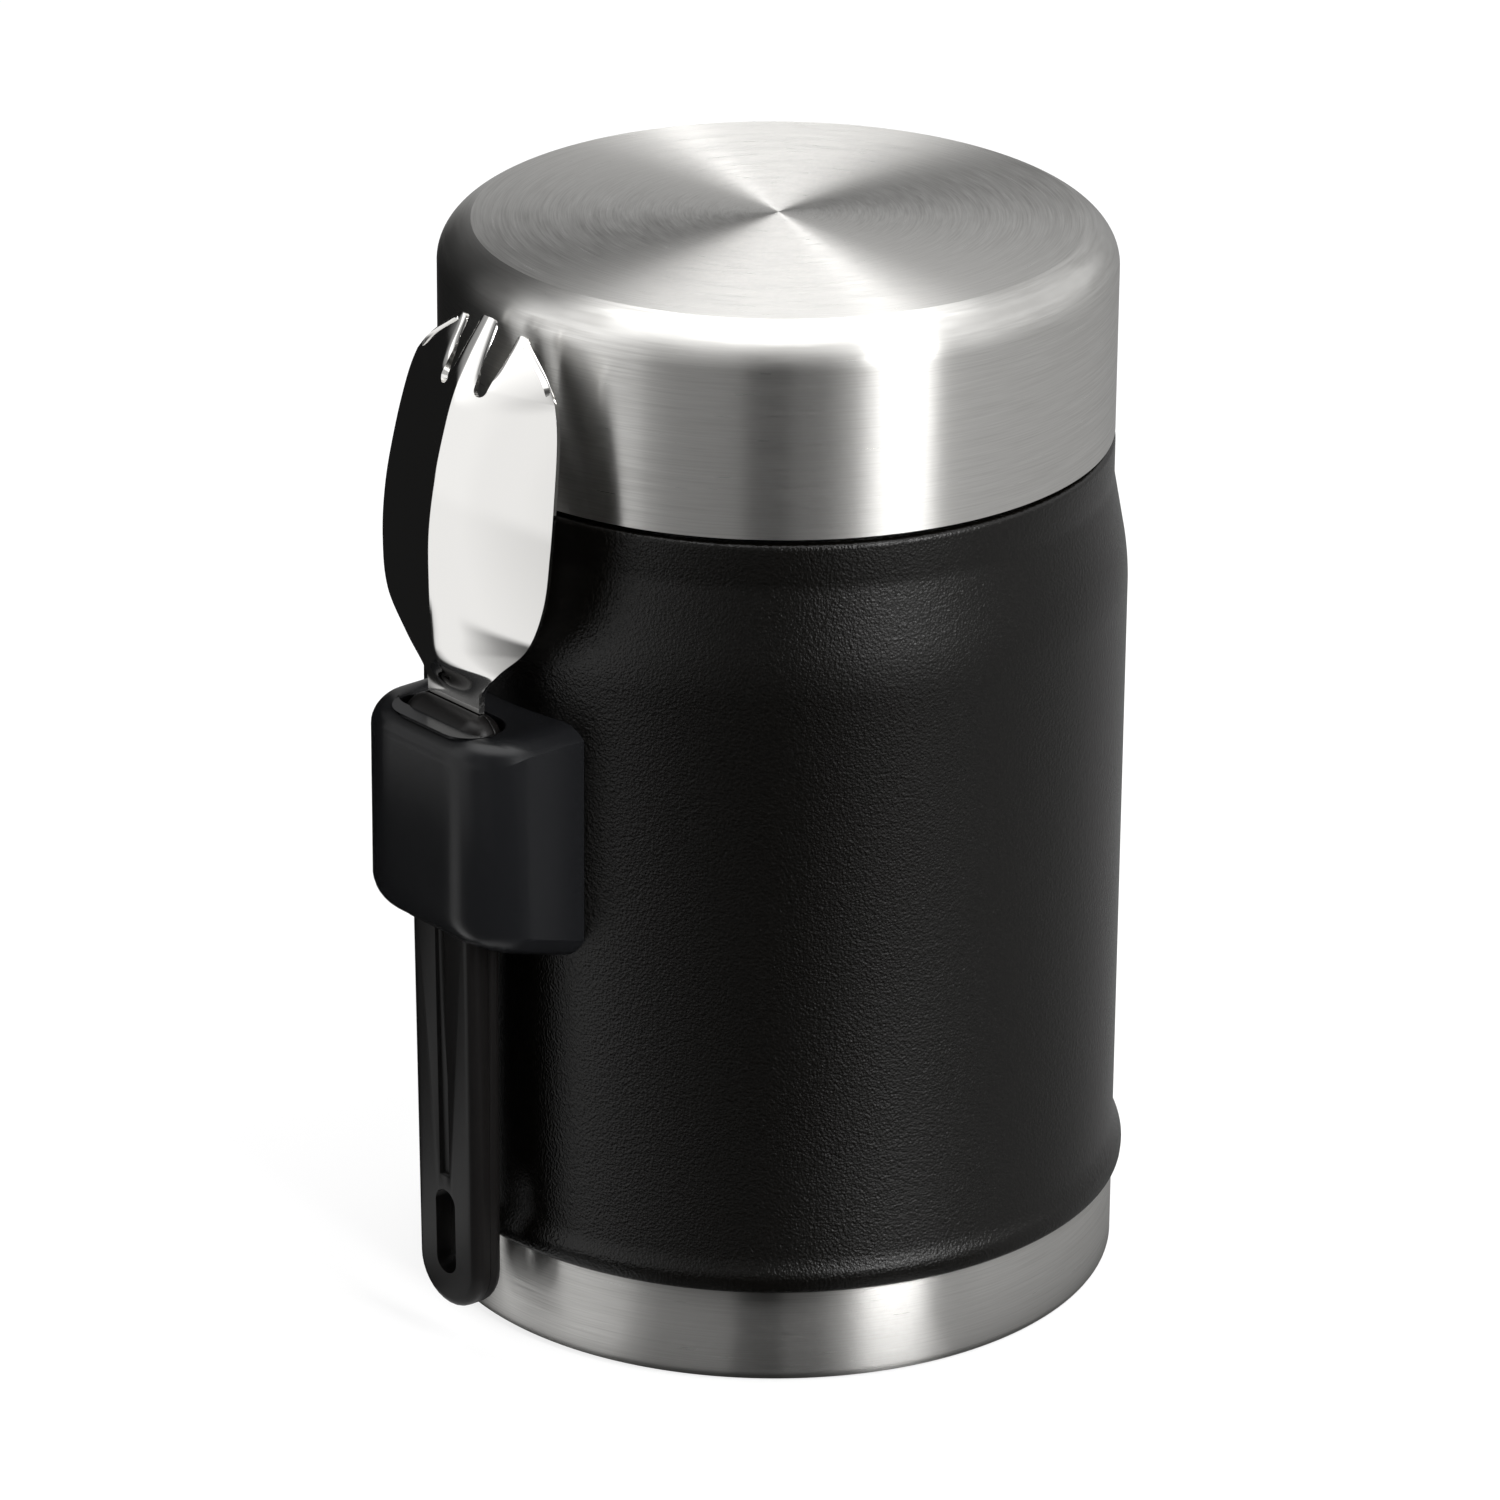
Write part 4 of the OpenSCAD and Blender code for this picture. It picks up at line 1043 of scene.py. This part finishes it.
class JAR_OT_studio(bpy.types.Operator):
    """Set the floor, lamps, cards and camera"""

    bl_idname = "jar.studio"
    bl_label = "Studio"

    # Lamps: degrees right of the camera, elevation in degrees, distance, width, height and watts
    lamps = (("key", 42, 30, 0.9, 0.3, 0.9, 15.0), ("top", 180, 70, 0.9, 0.8, 0.8, 10.0))

    # Surroundings that reflections see: degrees right of the camera, then how bright the near,
    # middle and far floor, the lower wall and the upper wall are in that direction
    surroundings = (
        (-180, 0.30, 0.22, 0.25, 0.40, 0.42),
        (-168, 0.30, 0.22, 0.25, 0.38, 0.36),
        (-160, 0.01, 0.01, 0.01, 0.02, 0.05),
        (-128, 0.01, 0.01, 0.01, 0.01, 0.05),
        (-118, 0.01, 0.01, 0.01, 0.01, 0.25),
        (-99, 0.01, 0.01, 0.01, 0.01, 0.45),
        (-97, 0.01, 0.01, 0.01, 1.00, 1.20),
        (-94, 0.01, 0.01, 0.01, 1.05, 1.40),
        (-92, 0.01, 0.02, 1.00, 1.05, 1.40),
        (-82, 0.02, 0.05, 1.00, 1.05, 1.40),
        (-77, 0.60, 0.85, 1.00, 1.05, 1.40),
        (-73, 1.00, 1.00, 1.00, 1.05, 1.40),
        (-66, 1.00, 1.00, 1.00, 1.05, 1.20),
        (-60, 0.50, 0.35, 1.00, 1.05, 1.00),
        (-56, 0.16, 0.11, 0.95, 1.00, 0.80),
        (-50, 0.08, 0.08, 0.85, 1.00, 0.55),
        (-44, 0.06, 0.06, 0.75, 0.90, 0.40),
        (-42.5, 0.05, 0.05, 0.42, 0.75, 0.25),
        (-33, 0.03, 0.02, 0.20, 0.45, 0.40),
        (-22, 0.02, 0.02, 0.22, 0.30, 0.30),
        (-12, 0.02, 0.02, 0.22, 0.30, 0.14),
        (-8, 0.01, 0.01, 0.05, 0.07, 0.08),
        (2, 0.01, 0.01, 0.01, 0.02, 0.08),
        (6, 0.02, 0.02, 0.12, 0.14, 0.12),
        (15, 0.03, 0.03, 0.10, 0.18, 0.25),
        (21, 0.05, 0.05, 0.26, 0.50, 0.40),
        (30, 0.05, 0.07, 0.60, 0.95, 0.80),
        (49, 0.07, 0.11, 0.95, 1.35, 1.20),
        (53, 0.36, 0.36, 0.40, 0.52, 1.10),
        (130, 0.42, 0.42, 0.40, 0.45, 0.90),
        (155, 0.38, 0.32, 0.33, 0.38, 0.50),
        (180, 0.30, 0.22, 0.25, 0.40, 0.42),
    )

    def place(self, degrees_right, out, height):
        """A point at an azimuth to the right of the camera, seen from the jar."""
        angle = settings("jar_studio").azimuth + math.radians(degrees_right)
        return Vector((out * math.sin(angle), -out * math.cos(angle), height))

    def glow(self, name, level=None):
        """A plain glowing material; without a level it glows as bright as the mesh says."""
        card = bpy.data.materials.new(name)
        tree = empty_tree(card)
        light = add_node(tree, "Emission", {"Strength": 1.0 if level is None else level})
        if level is None:
            levels = add_node(tree, "Attribute", attribute_name="level")
            tree.links.new(levels.outputs["Color"], light.inputs["Color"])
        add_node(tree, "OutputMaterial", {0: light.outputs[0]})
        return card

    def for_reflections(self, card, level=None):
        """Makes a stage card glow and lets only reflections see it."""
        card.data.materials.append(self.glow(card.name, level))
        card.visible_camera = False
        card.visible_diffuse = False
        card.visible_transmission = False
        card.visible_shadow = False

    def levels_at(self, degrees):
        """The table's five brightnesses at an azimuth, between its two nearest rows."""
        rows = self.surroundings
        i = max(k for k in range(len(rows) - 1) if rows[k][0] <= degrees)
        q = (degrees - rows[i][0]) / (rows[i + 1][0] - rows[i][0])
        return [a + (b - a) * q for a, b in zip(rows[i][1:], rows[i + 1][1:])]

    def make_surroundings(self, studio):
        """One mesh round and over the jar with its brightness kept on its points.

        Each ring of the profile has its distance, its height and the brightness that it takes;
        between two rings that take different ones, the brightness blends.
        """
        # Five of the brightnesses come from the table, and three have values of their own: the
        # ceiling's, the painted contact shadow's and that of the floor that the base band reflects
        near, middle, far, lower, upper, ceiling, contact_shadow, foot = range(8)
        inner = settings("jar_sizes").wall_radius - settings("jar_sizes").foot_round
        dark = inner + studio.contact_shadow
        foot_out, near_out, far_out = studio.foot_floor, studio.near_floor, studio.far_floor
        reach, low, high, skin = studio.card_radius, studio.card_split, studio.card_height, studio.skin
        # The first two rings are the painted contact shadow, a dark ring that the base cup's foot
        # reflects
        profile = (
            (inner, skin, contact_shadow), (dark, skin, contact_shadow),
            (dark + studio.contact_shadow, skin, foot), (foot_out, skin, foot),
            (1.15 * foot_out, skin, near), (near_out, skin, near),
            (1.1 * near_out, skin, middle), (0.9 * far_out, skin, middle),
            (far_out, skin, far), (reach, low / 5, far),
            (reach, low / 3, lower), (reach, low, lower),
            (reach, 1.2 * low, upper), (reach, high, upper),
            (reach / 2, high, ceiling), (skin, high, ceiling),
        )
        bm = bmesh.new()
        columns, brightness = [], []
        for degrees in range(-180, 181):
            foot_side = max(-180.0, min(180.0, degrees / studio.foot_turn))
            foot_level = studio.foot_share * self.levels_at(foot_side)[far]
            levels = self.levels_at(degrees)
            levels += [studio.ceiling, studio.contact_shadow_level, foot_level]
            column = []
            for out, height, ring in profile:
                column.append(bm.verts.new(self.place(degrees, out, height)))
                brightness.append(levels[ring])
            columns.append(column)
        for here, there in zip(columns, columns[1:]):
            for j in range(len(profile) - 1):
                bm.faces.new((here[j], there[j], there[j + 1], here[j + 1]))
        mesh = bpy.data.meshes.new("surroundings")
        bm.to_mesh(mesh)
        bm.free()
        layer = mesh.color_attributes.new(name="level", type="FLOAT_COLOR", domain="POINT")
        for point, level in zip(layer.data, brightness):
            point.color = (level, level, level, 1.0)
        self.for_reflections(new_object("surroundings", mesh))

    def make_softbox(self, name, left, right, low, high, level):
        """A bright softbox that reflections see in front of the surroundings."""
        studio = settings("jar_studio")
        out = studio.card_radius - studio.box_gap
        bm = bmesh.new()
        corners = []
        for side, height in ((left, low), (right, low), (right, high), (left, high)):
            corners.append(bm.verts.new(self.place(math.degrees(side), out, height)))
        bm.faces.new(corners)
        self.for_reflections(finish_mesh(name, bm), level)

    def add_lamp(self, name, degrees_right, elevation, distance, width, height, watts):
        """A soft area lamp that faces the jar's middle."""
        light = bpy.data.lights.new(name, "AREA")
        light.shape = "RECTANGLE"
        light.size = width
        light.size_y = height
        light.energy = watts
        lamp = new_object(name, light)
        rise = math.radians(elevation)
        middle = Vector((0.0, 0.0, LID_HIGH.z / 2))
        spot = middle + self.place(degrees_right, distance * math.cos(rise), distance * math.sin(rise))
        lamp.location = spot
        lamp.rotation_euler = (middle - spot).to_track_quat("-Z", "Y").to_euler()
        lamp.visible_camera = False
        lamp.visible_glossy = False

    def whitened(self, tree, level, shader, white):
        """A shader with that level of white on rays from the camera, reflected or passed through."""
        path = add_node(tree, "LightPath").outputs
        seen = maths(tree, "MAXIMUM", path["Is Camera Ray"], path["Is Glossy Ray"])
        seen = maths(tree, "MAXIMUM", seen, path["Is Transmission Ray"])
        fade = maths(tree, "MULTIPLY", seen, level)
        sockets = {0: fade, 1: shader.outputs[0], 2: white.outputs[0]}
        return add_node(tree, "MixShader", sockets).outputs[0]

    def make_floor(self, studio):
        """A pale floor that keeps the jar's shadow and fades to white."""
        bm = bmesh.new()
        bmesh.ops.create_circle(bm, cap_ends=True, segments=96, radius=studio.floor_radius)
        floor = finish_mesh("floor", bm)
        floor.location.z = -studio.floor_drop
        paper = bpy.data.materials.new("floor_paper")
        tree = empty_tree(paper)
        matte = add_node(tree, "BsdfDiffuse", {"Color": (*studio.floor, 1.0)})
        white = add_node(tree, "Emission", {"Color": (1.0, 1.0, 1.0, 1.0), "Strength": 1.0})
        mix = self.whitened(tree, studio.floor_fade, matte, white)
        add_node(tree, "OutputMaterial", {0: mix})
        floor.data.materials.append(paper)

    def make_world(self, studio):
        """Even light from all sides, and white where the background shows."""
        world = bpy.data.worlds.new("studio_world")
        bpy.context.scene.world = world
        tree = empty_tree(world)
        white = (1.0, 1.0, 1.0, 1.0)
        even = add_node(tree, "Background", {"Color": white, "Strength": studio.even_light})
        full = add_node(tree, "Background", {"Color": white, "Strength": 1.0})
        add_node(tree, "OutputWorld", {0: self.whitened(tree, 1.0, even, full)})

    def make_camera(self, studio):
        """The camera at the photograph's place, with its pitch, yaw and roll."""
        data = bpy.data.cameras.new("camera")
        data.lens = studio.lens
        data.sensor_width = 36.0
        data.clip_start = 0.05
        data.clip_end = 30.0
        camera = new_object("camera", data)
        spot = self.place(0.0, studio.distance, studio.height)
        heading = studio.azimuth + studio.yaw
        ahead = Vector((-math.sin(heading), math.cos(heading), 0.0)) * math.cos(studio.pitch)
        ahead.z = -math.sin(studio.pitch)
        right = ahead.cross(Vector((0.0, 0.0, 1.0))).normalized()
        level = Matrix((right, right.cross(ahead), -ahead)).transposed().to_4x4()
        rolled = Matrix.Rotation(studio.roll, 4, "Z")
        camera.matrix_world = Matrix.Translation(spot) @ level @ rolled
        bpy.context.scene.camera = camera

    def execute(self, context):
        studio = settings("jar_studio")
        context.scene.view_settings.view_transform = "Standard"
        self.make_floor(studio)
        self.make_world(studio)
        self.make_camera(studio)
        self.make_surroundings(studio)
        self.make_softbox(
            "softbox", studio.box_left, studio.box_right, studio.box_low, studio.box_high,
            studio.box_level,
        )
        self.make_softbox(
            "high_softbox", studio.wide_left, studio.wide_right, studio.box_high, studio.wide_high,
            studio.wide_level,
        )
        for lamp in self.lamps:
            self.add_lamp(*lamp)
        return {"FINISHED"}


class JAR_PT_panel(bpy.types.Panel):
    """Lists the pieces of the jar"""

    bl_label = "Food Jar"
    bl_idname = "JAR_PT_panel"
    bl_space_type = "VIEW_3D"
    bl_region_type = "UI"
    bl_category = "Food Jar"

    def draw(self, context):
        for operator in OPERATORS:
            self.layout.operator(operator.bl_idname)
        for name, group in GROUPS.items():
            box = self.layout.box()
            box.label(text=group.__doc__)
            for label in group.__annotations__:
                box.prop(settings(name), label)


OPERATORS = (
    JAR_OT_finishes,
    JAR_OT_body,
    JAR_OT_neck,
    JAR_OT_lid,
    JAR_OT_holder,
    JAR_OT_handle,
    JAR_OT_spork,
    JAR_OT_studio,
)
CLASSES = (*GROUPS.values(), *OPERATORS, JAR_PT_panel)


def register():
    """Registers the classes and puts the settings on the scene."""
    for item in CLASSES:
        bpy.utils.register_class(item)
    for name, group in GROUPS.items():
        setattr(bpy.types.Scene, name, PointerProperty(type=group))


def unregister():
    """Takes away what register added."""
    for name in GROUPS:
        delattr(bpy.types.Scene, name)
    for item in reversed(CLASSES):
        bpy.utils.unregister_class(item)


def main():
    """Builds every piece."""
    register()
    bpy.ops.jar.finishes()
    bpy.ops.jar.body()
    bpy.ops.jar.neck()
    bpy.ops.jar.lid()
    bpy.ops.jar.holder()
    bpy.ops.jar.handle()
    bpy.ops.jar.spork()
    bpy.ops.jar.studio()
    bpy.context.view_layer.update()


if __name__ == "__main__":
    main()
